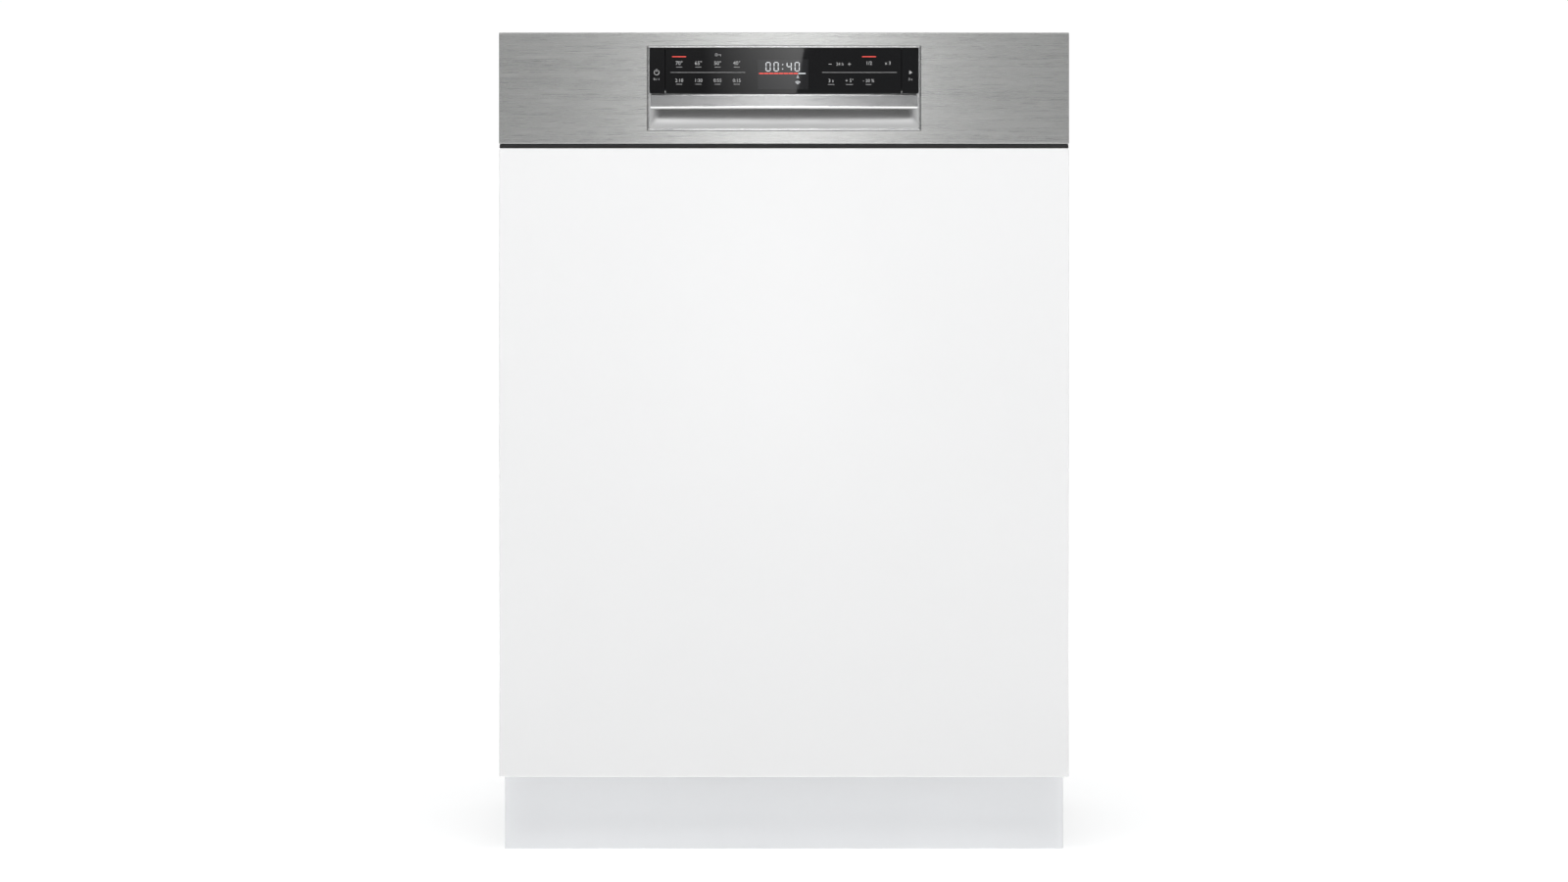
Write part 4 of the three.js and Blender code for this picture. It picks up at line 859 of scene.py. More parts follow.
def merge(bm):
    """Joins corners that lie on each other."""
    bmesh.ops.remove_doubles(bm, verts=bm.verts[:], dist=1e-6)


tub_low, tub_high = limits("tub")
mouth_y, back_y = tub_low[1] + 0.5, tub_high[1] - 0.5
ledge_z, floor_z, ceiling_z = 188.6, tub_low[2] + 0.5, limits("riser_pipe")[1][2] + 2.5
wall_x, low_x = limits("drawer_rail_right")[1][0] + 0.8, limits("lower_rack")[1][0] - 17.5
sump_low, sump_high = limits("filter_plate")
sump_at, sump_radius = (sump_low[1] + sump_high[1]) / 2, (sump_high[0] - sump_low[0]) / 2 + 4
lip_radius, corner_radius = sump_radius + 6, 24

bm = bmesh.new()
corners = (
    (-low_x, floor_z), (-low_x, ledge_z), (-wall_x, ledge_z), (-wall_x, ceiling_z),
    (wall_x, ceiling_z), (wall_x, ledge_z), (low_x, ledge_z), (low_x, floor_z))
outline = bm.faces.new([bm.verts.new(mm(x, mouth_y, z)) for x, z in corners])
thicken(bm, [outline], 0, back_y - mouth_y, 0)
bmesh.ops.delete(bm, geom=faces_in(bm, y=(-999, mouth_y + 1)), context="FACES_ONLY")
for test, radius, segments in (
    (lambda z: z > 800, corner_radius, 8), (lambda z: z < floor_z + 1, 13, 5),
    (lambda z: abs(z - ledge_z) < 1, 4, 4),
):
    bevel(bm, [
        edge for edge in bm.edges if abs(edge.verts[0].co.y - edge.verts[1].co.y) > 0.1
        and test(edge.verts[0].co.z * 1000)], radius, segments)
bevel(bm, along(folds(bm, 1), lambda at: abs(at.y - back_y) < 0.5), 8, 4)
level = [face for face in faces_in(bm, z=(floor_z - 1, floor_z + 1)) if abs(face.normal.z) > 0.99]
floor_face = max(level, key=lambda face: face.calc_area())
floor_rim = list(floor_face.edges)
bmesh.ops.delete(bm, geom=[floor_face], context="FACES_ONLY")
bmesh.ops.subdivide_edges(bm, edges=floor_rim, cuts=12)
free = [edge for edge in bm.edges if edge.is_boundary or edge.is_wire]
around = along(free, lambda at: abs(at.z - floor_z) < 0.1)
hole = bmesh.ops.create_circle(bm, cap_ends=False, radius=lip_radius * 0.001, segments=52)["verts"]
shift(bm, hole, 0, sump_at, floor_z - 1.5)
hole_rim = list({edge for vert in hole for edge in vert.link_edges})
bmesh.ops.bridge_loops(bm, edges=around + hole_rim)
lip = pull(bm, [edge for edge in hole_rim if edge.is_boundary], 0, 0, 0)
narrower = sump_radius / lip_radius
bmesh.ops.scale(bm, vec=(narrower, narrower, 1), space=Matrix.Translation(-mm(0, sump_at, 0)), verts=lip)
shift(bm, lip, 0, 0, -2.0)
mouth_rim = [
    edge for edge in along(rims(bm), lambda at: at.y < mouth_y + 0.1 and (
        abs(at.z - ledge_z) > 1 or abs(at.x) > wall_x - 5))
    if max(vert.co.z for vert in edge.verts) * 1000 > ledge_z - 1]
flange_x, flange_z = tub_high[0], tub_high[2]
centre_x, centre_z = wall_x - corner_radius, ceiling_z - corner_radius
for corner in pull(bm, mouth_rim, 0, 0, 0):
    x, z = corner.co.x * 1000, corner.co.z * 1000
    if abs(x) > centre_x and z > centre_z:
        x = math.copysign(flange_x - 6 + (abs(x) - centre_x) / 4, x)
        z = flange_z - 6 + (z - centre_z) / 4
    elif abs(x) > centre_x:
        x = math.copysign(flange_x, x)
    else:
        z = flange_z
    corner.co.x, corner.co.z = x * 0.001, z * 0.001
merge(bm)
face_outwards(bm)
fit("drawn_tub", bm, "cabinet", stainless, "tub", sharp=45, wall=0.9)

bm = bmesh.new()
block(bm, (-low_x + 2, mouth_y - 0.4, floor_z - 0.4), (low_x - 2, mouth_y + 0.5, ledge_z), 0.2, 2)
fit("tub_sill", bm, "cabinet", stainless)

# ---------------------------------------------------------------- seals
# A hollow bulb of black rubber is pressed into a groove round the mouth of the tub, with a thin bead
# along each side of it.
low, high = limits("tub_gasket")
bulb_y = (low[1] + high[1]) / 2


def bent(points, radius, steps=5):
    """A path through points in millimetres, its corners rounded by curves."""
    points = [Vector(point) for point in points]
    path = [points[0]]
    for before, corner, after in zip(points, points[1:], points[2:]):
        reach = min(radius, (before - corner).length * 0.49, (after - corner).length * 0.49)
        start = corner + (before - corner).normalized() * reach
        stop = corner + (after - corner).normalized() * reach
        for share in (step / steps for step in range(steps + 1)):
            path.append(start * (1 - share) ** 2 + corner * 2 * share * (1 - share) + stop * share ** 2)
    path.append(points[-1])
    return path


def rods(bm, paths, radius, resolution=2):
    """Adds round wires along paths in millimetres."""
    curve = bpy.data.curves.new("rods", "CURVE")
    curve.dimensions = "3D"
    curve.bevel_depth, curve.bevel_resolution, curve.use_fill_caps = radius * 0.001, resolution, True
    for path in paths:
        spline = curve.splines.new("POLY")
        spline.points.add(len(path) - 1)
        for point, place in zip(spline.points, path):
            point.co = (*mm(*place), 1)
    holder = bpy.data.objects.new("rods", curve)
    bm.from_mesh(bpy.data.meshes.new_from_object(holder))
    bpy.data.objects.remove(holder)
    bpy.data.curves.remove(curve)


bm = bmesh.new()
for inset, radius, resolution in ((4, 3.5, 4), (0.9, 0.8, 2), (7.4, 0.6, 2)):
    x, top = high[0] - inset, high[2] - inset
    path = [(-x, bulb_y, low[2]), (-x, bulb_y, top), (x, bulb_y, top), (x, bulb_y, low[2])]
    rods(bm, [bent(path, 26 - inset)], radius, resolution)
fit("mouth_seal", bm, "cabinet", rubber, "tub_gasket", sharp=60)

# ---------------------------------------------------------------- water circuit under the tub
# The sump, softener and pumps are injection-moulded housings clipped together below the tub. The
# circulation pump's motor has cooling ribs round it.
cool, cream = (0.97, 1, 1.03), (1, 0.995, 0.97)
grey_plastic = grained(
    "grey_plastic", (10, 4), (grey(0.235, cool), grey(0.29, cool)), 1100, (0.4, 0.54), 0.00004,
    Roughness=0.48)
white_plastic = grained(
    "white_plastic", (12, 3), (grey(0.68, cream), grey(0.76, cream)), 1000, (0.36, 0.5), 0.00004,
    Roughness=0.42)


def softened(node, body, finish, radius=0.8, segments=2):
    """A CAD piece with its edges rounded off: its mesh copied, merged and bevelled."""
    bm = bmesh.new()
    bm.from_mesh(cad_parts[node].data)
    merge(bm)
    bmesh.ops.dissolve_limit(bm, angle_limit=0.02, verts=bm.verts[:], edges=bm.edges[:])
    bevel(bm, folds(bm, 0.45), radius, segments)
    fit(f"{node}_moulding", bm, body, finish, node)


softened("sump", "cabinet", grey_plastic, 0.9)
softened("water_softener", "cabinet", white_plastic, 2.4, 3)
softened("drain_pump", "cabinet", white_plastic, 1.2)
softened("circulation_pump", "cabinet", black_plastic, 1.6)
low, high = limits("circulation_pump")
pump_at = (0, (low[1] + high[1]) / 2, low[2] + (high[1] - low[1]) / 2 - 0.6)
bm = bmesh.new()
for step in range(8):
    start = low[0] + 56 + step * 7
    lathe(bm, ((26, start), (29, start + 0.4), (29, start + 2.6), (26, start + 3)), pump_at, "X", 40)
fit("pump_cooling_ribs", bm, "cabinet", black_plastic)

# ---------------------------------------------------------------- connections at the back
# Through the tray's rear wall come the threaded inlet valve, the ribbed drain spigot and the mains
# inlet with its three pins. Each is screwed to the tray.
port_wall = limits("base_tray")[1][1]


def port(node):
    """The middle of a connection across the back, and how far back it reaches."""
    low, high = limits(node)
    return (low[0] + high[0]) / 2, (low[2] + high[2]) / 2, high[1]


inlet_x, inlet_z, end = port("inlet_valve")
softened("inlet_valve", "cabinet", white_plastic, 0.9)
bm = bmesh.new()
thread(bm, 12.9, port_wall - 2, end - 0.8, 0.9, (inlet_x, 0, inlet_z), "Y")
lathe(bm, ((8.9, end - 0.3), (9.1, end), (12.4, end), (12.9, end - 0.6)), (inlet_x, 0, inlet_z), "Y", 32)
fit("inlet_thread", bm, "cabinet", white_plastic)

drain_x, drain_z, end = port("drain_outlet")
softened("drain_outlet", "cabinet", grey_plastic, 0.6)
bm = bmesh.new()
lathe(bm, (
    (10.2, port_wall), (10.2, port_wall + 0.6), (10.9, port_wall + 0.8), (10.2, end - 1.6),
    (10.9, end - 1.4), (9.6, end)), (drain_x, 0, drain_z), "Y", 32)
fit("drain_barbs", bm, "cabinet", grey_plastic)

mains_x, mains_z, end = port("mains_inlet")
softened("mains_inlet", "cabinet", black_plastic, 1.0)
bm = bmesh.new()
for x, z in ((mains_x - 7, mains_z + 1.5), (mains_x + 7, mains_z + 1.5), (mains_x, mains_z - 2.6)):
    block(bm, (x - 1, end - 14, z - 2), (x + 1, end - 3, z + 2), 0.4, 2)
fit("mains_pins", bm, "cabinet", chrome)
screws("port_screws", "cabinet", galvanised, [(x, port_wall - 0.2, z) for x, z in (
    (mains_x - 34, mains_z), (mains_x + 34, mains_z), (inlet_x - 22, inlet_z - 12),
    (inlet_x + 22, inlet_z + 12))], 3.2, "+Y")

# ---------------------------------------------------------------- filter
# A fine filter plate of perforated stainless sheet lies in the floor. Its holes are not cut but painted as
# near-black dots: painted shade for the dark space seen through them. The cup in its front half lifts
# out by a quarter turn of its winged grip and holds a mesh of fine steel.
perforated = Finish("perforated_steel", "stainless", Metallic=1.0)
punched = perforated.cells(520, randomness=0.0)
hole_mask = perforated.node("ShaderNodeMath", {"operation": "LESS_THAN"}, {0: punched, 1: 0.34})
perforated.set(
    # Inside the round holes the base colour is near-black: painted shade standing for the holes, with rougher
    # gloss and a sunken bump there.
    Base_Color=perforated.blend(hole_mask, grey(0.56), grey(0.02)),
    Roughness=hole_mask.ranged(0, 1, 0.3, 0.8))
perforated.relief(1 - hole_mask, 0.0003)
coat(perforated, "filter_plate")

plate = sump_high[2]
bm = bmesh.new()
lathe(bm, ((80, 0.2), (82.6, 0.9), (83.6, 0.2), (83.6, -2.8), (80, -2.8)), (0, sump_at, plate), steps=72)
fit("filter_plate_rim", bm, "cabinet", stainless)

low, high = limits("filter_cylinder")
cup_x, cup_y, foot = (low[0] + high[0]) / 2, (low[1] + high[1]) / 2, low[2]
cup = (high[0] - low[0]) / 2
bm = bmesh.new()
for outline in (
    ((0, foot + 3), (cup - 3, foot + 3), (cup - 3, plate + 1), (cup - 2.2, plate + 8),
     (cup - 1.2, plate + 9.4), (cup - 0.2, plate + 8.6), (cup, plate + 2),
     (cup, plate - 4), (cup - 1.6, plate - 6),
     (cup - 1.6, plate - 10), (cup - 2.6, plate - 10), (cup - 2.6, foot + 1), (0, foot + 1)),
    ((0, foot), (cup - 2, foot), (cup - 0.4, foot + 1.6), (cup - 0.4, foot + 7), (cup - 1.8, foot + 8),
     (cup - 2.8, foot + 8), (cup - 2.8, foot + 2), (0, foot + 2)),
):
    lathe(bm, outline, (cup_x, cup_y, 0), steps=48)
for rib in range(6):
    made = block(bm, (cup - 2.4, -1.4, foot + 6), (cup - 0.6, 1.4, plate - 5), 0)
    turn(bm, made, rib * math.pi / 3, "Z")
    shift(bm, made, cup_x, cup_y, 0)
for near, far in ((3 - cup, -4), (4, cup - 3)):
    block(bm, (cup_x - 1.8, cup_y + near, plate + 1), (cup_x + 1.8, cup_y + far, plate + 9.2), 1.2, 3)
lathe(bm, ((0, 9.2), (4.2, 9.2), (5.2, 8), (5.2, 1), (0, 1)), (cup_x, cup_y, plate), steps=24)
fit("filter_cup", bm, "filter_cylinder", grey_plastic, "filter_cylinder")
bm = bmesh.new()
mesh_low, mesh_high = foot + 7.6, plate - 9
lathe(bm, ((cup - 2.4, mesh_low), (cup - 2, mesh_low), (cup - 2, mesh_high), (cup - 2.4, mesh_high)),
      (cup_x, cup_y, 0), steps=56)
fit("filter_mesh", bm, "filter_cylinder", perforated)

# ---------------------------------------------------------------- salt cap
# White screw cap over the softener's salt store: ribbed rim, domed top and a wing to turn it by.
# It seats in a collar in the tub's floor.
low, high = limits("salt_cap")
cap_x, cap_y, cap = (low[0] + high[0]) / 2, (low[1] + high[1]) / 2, (high[0] - low[0]) / 2
foot, top = low[2], high[2]
bm = bmesh.new()
lathe(bm, (
    (0, foot), (cap - 7, foot), (cap - 7, foot + 1.4), (cap - 0.8, foot + 1.4), (cap, foot + 2.4),
    (cap, top - 10.5), (cap - 1.4, top - 8.6), (cap - 8, top - 7.6), (cap - 14, top - 8.4), (0, top - 8.6)),
    (cap_x, cap_y, 0), steps=64)
block(bm, (cap_x - cap + 6, cap_y - 3, top - 9), (cap_x + cap - 6, cap_y + 3, top), 2.2, 4)
for angle in (2 * math.pi * rib / 28 for rib in range(28)):
    made = bmesh.ops.create_cone(
        bm, cap_ends=True, segments=6, radius1=0.0009, radius2=0.0009, depth=0.0042)["verts"]
    out = cap - 0.8
    shift(bm, made, cap_x + out * math.cos(angle), cap_y + out * math.sin(angle), foot + 4.8)
fit("salt_screw_cap", bm, "salt_cap", white_plastic, "salt_cap")
bm = bmesh.new()
lathe(bm, (
    (cap - 6, 0), (cap + 3, 0), (cap + 4, 0.2), (cap + 4, 0.9), (cap + 2, 1.1), (cap - 6, 1.1)),
    (cap_x, cap_y, floor_z + 0.2), steps=48)
fit("salt_collar", bm, "cabinet", white_plastic)

# ---------------------------------------------------------------- riser
# One flattened moulded pipe up the back wall and along the ceiling feeds the three spray arms. It
# clips to the tub at two heights.
low, high = limits("riser_pipe")
half_pipe, column_front = high[0], high[1] - 20
feed_z = limits("upper_rack")[0][2] + 15.7
arm_y = (limits("top_spray_arm")[0][1] + limits("top_spray_arm")[1][1]) / 2
bm = bmesh.new()
block(bm, (-half_pipe, column_front, low[2]), (half_pipe, high[1], high[2]), 6, 6)
block(bm, (-half_pipe, arm_y - 16, high[2] - 11), (half_pipe, high[1] - 1, high[2]), 4, 5)
lathe(bm, ((7, 2), (7, -7), (7.4, -8), (9, -8), (9, 2)), (0, column_front, feed_z), "Y", 32)
pin_low, pin_high = limits("top_spray_arm")[1][2] - 6.6, high[2] - 8
lathe(bm, ((0, pin_low), (6, pin_low), (6, pin_high), (0, pin_high)), (0, arm_y, 0), steps=24)
for z in (330, 640):
    block(bm, (-half_pipe - 4, high[1] - 9, z - 6), (half_pipe + 4, high[1] + 0.8, z + 6), 1.6, 3)
for z in range(200, 520, 40):
    block(bm, (-half_pipe + 5, column_front - 0.7, z), (half_pipe - 5, column_front + 2, z + 3), 0.5, 2)
fit("riser_moulding", bm, "cabinet", grey_plastic, "riser_pipe")


# ---------------------------------------------------------------- spray arms
# Two moulded halves welded into a flat hollow arm that tapers to its ends, with raised nozzles along
# its top. Each spins freely on its hub.
def spray_arm(node, width, thick, lift, hub, hub_span, jets):
    """An arm of a width and thickness in millimetres, lift above its node's foot, on a round hub."""
    low, high = limits(node)
    reach, bottom = (high[0] - low[0]) / 2, low[2] + lift
    bm = bmesh.new()
    block(bm, (-reach, -width / 2, bottom), (reach, width / 2, bottom + thick), 0)
    cut(bm, "X", [-reach + step * reach / 12 for step in range(1, 24)])
    for corner in bm.verts:
        share = abs(corner.co.x) * 1000 / reach
        corner.co.y *= (1 - 0.3 * share ** 1.6) * (1 if share < 0.99 else 0.72)
        if corner.co.z * 1000 > bottom + thick / 2:
            corner.co.z -= 0.001 * thick * 0.32 * share ** 1.4
    bevel(bm, folds(bm, 0.7), thick * 0.22, 4)
    foot, top = hub_span or (low[2], high[2])
    lathe(bm, (
        (hub - 3, foot), (hub - 0.8, foot + 0.4), (hub, foot + 1.6), (hub, top - 3), (hub - 1.4, top - 0.8),
        (hub - 4, top), (hub * 0.5, top), (hub * 0.46, top - 0.8), (0, top - 0.8)), (0, 0, 0), steps=40)
    for number, share in enumerate(jets + tuple(-share for share in jets)):
        level = bottom + thick - thick * 0.32 * abs(share) ** 1.4
        y = (4.5 if number % 2 else -4.5) * (width / 34)
        nozzle = ((1.2, -1.2), (1.4, 0.75), (2.3, 0.8), (3.3, 0.1), (3.6, -1.0))
        lathe(bm, nozzle, (share * reach, y, level), steps=14)
    shift(bm, bm.verts[:], (low[0] + high[0]) / 2, (low[1] + high[1]) / 2, 0)
    fit(f"{node}_moulding", bm, node, grey_plastic, node, sharp=40)


jets, upper_foot = (0.2, 0.34, 0.48, 0.62, 0.75, 0.87), limits("upper_spray_arm")[0][2]
spray_arm("lower_spray_arm", 34, 12, 8, 24, None, jets)
spray_arm("upper_spray_arm", 34, 12, 0, 14, (upper_foot, upper_foot + 12.5), jets)
spray_arm("top_spray_arm", 24, 8, 2, 15, None, (0.35, 0.6, 0.85))

# ---------------------------------------------------------------- lower rack
# A basket of round steel wire, spot-welded at the crossings and dipped in light grey nylon, so that
# the wires look soft at the joints. Fixed tines stand in two rows; two more rows fold down.
rack_coating = Finish("nylon_coating", "rack_coating", Roughness=0.4, Coat_Weight=0.2, Coat_Roughness=0.3)
dip = rack_coating.noise(180, 4)
rack_coating.set(
    Base_Color=rack_coating.blend(dip, grey(0.34, (0.98, 1, 1.02)), grey(0.41, (0.98, 1, 1.02))),
    Roughness=dip.ranged(0.3, 0.7, 0.34, 0.46))
rack_coating.relief(dip, 0.00015)
wire_radius = 1.95


def spread(first, last, pitch):
    """Places from first to last, about a pitch apart."""
    count = max(1, round((last - first) / pitch))
    return [first + (last - first) * step / count for step in range(count + 1)]


rack_low, rack_high = limits("lower_rack")
rack_front, rack_back = rack_low[1] + 3.6, rack_high[1] - 3.6
rack_half = low_x


def basket_rods(bm, floor, rim, rings, pitch_x):
    """The welded basket: bent wires each way, level rings, and thinner wires between them."""
    main, fine, side = [], [], rack_half - 2
    for y in spread(rack_front + 30, rack_back - 30, 76):
        hoop = [(-side, y, rim - 2), (-side, y, floor + 2), (side, y, floor + 2), (side, y, rim - 2)]
        main.append(bent(hoop, 15))
    across = spread(-rack_half + 34, rack_half - 34, pitch_x)
    between = [(a + b) / 2 for a, b in zip(across, across[1:])]
    for wires, places, inset, foot, top, radius in (
        (main, across, 2, floor + 5.6, rim - 2, 15), (fine, between, 1.4, floor + 5.2, rings[0] - 2, 13),
    ):
        front, back = rack_front + inset, rack_back - inset
        for x in places:
            wires.append(bent([(x, front, top), (x, front, foot), (x, back, foot), (x, back, top)], radius))
    x, front, back = rack_half + 1.6, rack_front - 1.6, rack_back + 1.6
    for z in (ring - 2 for ring in rings):
        main.append(bent([
            (0, front, z), (x, front, z), (x, back, z), (-x, back, z), (-x, front, z), (0, front, z)], 20))
    rods(bm, main, wire_radius, 2)
    rods(bm, fine, 1.4, 1)


def tine_rods(bm, x, y, z, length, height):
    """A long wire with upright tines on it, each tip closed by a coated bead."""
    tips = [(x, y + step, z + height) for step in spread(-length / 2 + 8, length / 2 - 8, 44)]
    upright = [[(tip[0], tip[1], z), (tip[0], tip[1], tip[2] - 1.8)] for tip in tips]
    rods(bm, [[(x, y - length / 2, z), (x, y + length / 2, z)]] + upright, wire_radius - 0.15, 2)
    for tip in tips:
        bead = bmesh.ops.create_icosphere(bm, subdivisions=2, radius=0.0022)["verts"]
        shift(bm, bead, tip[0], tip[1], tip[2] - 2.2)


floor, rim = 212, rack_high[2]
row_length, row_middle = rack_back - rack_front - 90, (rack_front + rack_back) / 2
bm = bmesh.new()
basket_rods(bm, floor, rim, (floor + 60, rim), 84)
for x in (-0.62 * rack_half, 0.66 * rack_half):
    tine_rods(bm, x, row_middle, floor + 5.6, row_length, 78)
fit("lower_rack_wires", bm, "cabinet", rack_coating, "lower_rack", sharp=60)

carriers = bmesh.new()
for node in ("fold_tine_row_left", "fold_tine_row_right"):
    low, high = limits(node)
    x = (low[0] + high[0]) / 2
    bm = bmesh.new()
    tine_rods(bm, x, row_middle, low[2] + 2, row_length, 78)
    fit(f"{node}_wires", bm, node, rack_coating, node, sharp=60)
    for y in (low[1] + 26, row_middle - 6, high[1] - 26):
        for x0, x1 in ((x - 7, x - 3.2), (x + 3.2, x + 7)):
            block(carriers, (x0, y - 4, floor + 1), (x1, y + 4, floor + 13), 1, 2)
        block(carriers, (x - 7, y - 4, floor + 0.6), (x + 7, y + 4, floor + 3), 0.8, 2)
wheels = [(f"lower_rack_wheel_{end}_{hand}", side) for end in ("front", "rear") for side, hand in hands]
for node, side in wheels:
    low, high = limits(node)
    y, z = (low[1] + high[1]) / 2, (low[2] + high[2]) / 2
    x0, x1 = sorted((side * (rack_half - 5), side * (rack_half + 2.5)))
    block(carriers, (x0, y - 12, z - 6.5), (x1, y + 12, floor + 66), 2, 3)
    for rib in (y - 8, y + 8):
        block(carriers, (x0, rib - 1, z + 10), (x1 + side * 0.8, rib + 1, floor + 60), 0.4, 1)
    stub = side * rack_half - (0 if side > 0 else 18)
    lathe(carriers, ((0, 0), (3.1, 0), (3.1, 16), (2.2, 18), (0, 18)), (stub, y, z), "X", 20)
fit("rack_carriers", carriers, "cabinet", grey_plastic)

# ---------------------------------------------------------------- rack wheels
# Acetal rollers with a rounded tyre, a dished web stiffened by six spokes and a hub that turns on
# the carrier's stub.
for node, side in wheels:
    low, high = limits(node)
    at = (low[0], (low[1] + high[1]) / 2, (low[2] + high[2]) / 2)
    radius, width = (high[2] - low[2]) / 2, high[0] - low[0]
    face = (
        (3.7, 0), (6, 0), (6.4, 0.4), (6.4, 2.6), (radius - 4.4, 2.6), (radius - 4, 2.2), (radius - 3.6, 0.3),
        (radius - 1.4, 0), (radius, 1.6))
    bm = bmesh.new()
    lathe(bm, face + tuple((out, width - deep) for out, deep in reversed(face)), at, "X", 44)
    for spoke in range(6):
        rib = block(bm, (0.7, -0.9, 6), (width - 0.7, 0.9, radius - 4.2), 0)
        turn(bm, rib, spoke * math.pi / 3, "X")
        shift(bm, rib, *at)
    fit(f"{node}_roller", bm, node, grey_plastic, node)

# ---------------------------------------------------------------- upper rack
# The same coated wire, shallower, hung by steel runners from guides on the tub's walls. Its moulded
# feed pipe meets the riser at the back, and a moulded grip clips over the front wire.
floor, rim = 560, limits("upper_rack")[1][2]
bm = bmesh.new()
basket_rods(bm, floor, rim, (floor + 48, rim), 84)
for share in (-0.55, 0, 0.55):
    tine_rods(bm, share * rack_half, row_middle, floor + 5.6, row_length, 46)
fit("upper_rack_wires", bm, "upper_rack", rack_coating, "upper_rack", sharp=60)

guide_low, guide_high = limits("runner_guide_right")
runner_z = guide_low[2] + 6
bm = bmesh.new()
for side in (-1, 1):
    inner, outer = side * (rack_half + 5.2), side * (rack_half + 8.8)
    block(bm, (inner, rack_front, runner_z), (outer, rack_back, runner_z + 12), 1.2, 3)
fit("rack_runners", bm, "upper_rack", stainless)
bm = bmesh.new()
for side in (-1, 1):
    for y in (rack_front + 10, rack_back - 22):
        for inner, outer, foot, top, *softening in (
            (-4.6, 5.6, runner_z + 2, runner_z + 10, 1.2, 2), (-5, 0.4, floor + 44, rim - 1, 1.4, 3),
        ):
            inner, outer = side * (rack_half + inner), side * (rack_half + outer)
            block(bm, (inner, y, foot), (outer, y + 12, top), *softening)
lathe(bm, (
    (4.5, arm_y), (6, arm_y), (6, rack_back - 4), (7.6, rack_back - 3.6), (7.6, rack_back + 0.2),
    (4.5, rack_back + 0.2)), (0, 0, feed_z), "Y", 32)
arm_top = limits("upper_spray_arm")[1][2]
lathe(bm, (
    (0, arm_top + 1), (12.4, arm_top + 1), (14, arm_top + 2.4), (14, feed_z + 2.4), (12, feed_z + 4),
    (0, feed_z + 4)), (0, arm_y, 0), steps=40)
for y in (arm_y, rack_back - 30):
    block(bm, (-4, y - 4, feed_z), (4, y + 4, floor + 5), 1, 2)
fit("upper_feed_pipe", bm, "upper_rack", grey_plastic)


def dish(bm, faces, inset, depth):
    """Sinks the middle of some faces that look along Y."""
    bmesh.ops.inset_region(bm, faces=faces, thickness=inset * 0.001)
    shift(bm, list({vert for face in faces for vert in face.verts}), 0, depth, 0)


def front_grip(name, body, half, low_z, high_z):
    """A moulded grip over the front wires, its lower edge arched for the fingers."""
    bm = bmesh.new()
    block(bm, (-half, rack_front - 4.6, low_z), (half, rack_front + 4.4, high_z), 0)
    cut(bm, "X", [-half + step * half / 6 for step in range(1, 12)])
    for corner in bm.verts:
        if corner.co.z * 1000 < (low_z + high_z) / 2:
            corner.co.z += 0.005 * (corner.co.x * 1000 / half) ** 2
    dish(bm, [face for face in bm.faces if face.normal.y < -0.9], 3, 1.4)
    bevel(bm, folds(bm, 0.5), 0.9, 3)
    fit(name, bm, body, grey_plastic)


front_grip("upper_rack_grip", "upper_rack", 72, rim - 24, rim)

# ---------------------------------------------------------------- runner guides
# Moulded channels screwed to the tub's walls near the mouth; the steel runners slide in them.
# The screws' heads face into the tub.
for side, hand in hands:
    softened(f"runner_guide_{hand}", "cabinet", grey_plastic, 1.1, 3)
bm = bmesh.new()
for side in (-1, 1):
    for y in (guide_low[1] + 16, guide_high[1] - 16):
        pan_screw(bm, side * (guide_low[0] + 6.4), y, runner_z + 6, "-X" if side > 0 else "+X", 3)
fit("guide_screws", bm, "cabinet", stainless)

# ---------------------------------------------------------------- cutlery drawer and its rails
# A shallow wire drawer under the ceiling with moulded combs that hold each knife, fork and spoon
# apart. Its side lips slide on folded stainless rails.
low, high = limits("cutlery_drawer")
floor, rim = low[2], high[2]
bm = bmesh.new()
basket_rods(bm, floor, rim, (rim,), 72)
fit("drawer_wires", bm, "cutlery_drawer", rack_coating, "cutlery_drawer", sharp=60)
bm = bmesh.new()
for side in (-1, 1):
    block(bm, (side * (rack_half - 1.6), rack_front, rim - 12), (side * high[0], rack_back, rim - 9), 0.9, 2)
fit("drawer_lips", bm, "cutlery_drawer", stainless)
tray_y0, tray_y1 = rack_front + 12, rack_back - 12
bm = bmesh.new()
for x0, x1 in ((-236, -92), (-76, 76), (92, 236)):
    block(bm, (x0, tray_y0, floor + 7.8), (x1, tray_y1, floor + 9.4), 0.6, 2)
    for x in (x0, x1 - 2):
        block(bm, (x, tray_y0, floor + 8), (x + 2, tray_y1, floor + 19), 0.7, 2)
    for y in spread(rack_front + 14, rack_back - 14, 197):
        block(bm, (x0, y - 1, floor + 8), (x1, y + 1, floor + 19), 0.7, 2)
    for y in (rack_front + 70, rack_front + 150, rack_back - 150, rack_back - 70):
        block(bm, (x0 + 4, y - 1.1, floor + 8), (x1 - 4, y + 1.1, floor + 12), 0.4, 1)
        for x in spread(x0 + 12, x1 - 12, 15):
            for corner in block(bm, (x - 3.4, y - 1.1, floor + 11), (x + 3.4, y + 1.1, floor + 24), 0):
                if corner.co.z * 1000 > floor + 20:
                    corner.co.x += (x * 0.001 - corner.co.x) * 0.62
fit("cutlery_combs", bm, "cutlery_drawer", grey_plastic)
front_grip("drawer_grip", "cutlery_drawer", 64, rim - 16, rim)
for side, hand in hands:
    softened(f"drawer_rail_{hand}", "cabinet", stainless, 0.7, 2)
rail_low, rail_high = limits("drawer_rail_right")
bm = bmesh.new()
for side in (-1, 1):
    for y in (rail_low[1] + 30, 13, rail_high[1] - 30):
        pan_screw(bm, side * (rail_high[0] - 3.7), y, rail_high[2] - 7, "-X" if side > 0 else "+X", 2.8)
fit("rail_rivets", bm, "cabinet", stainless)


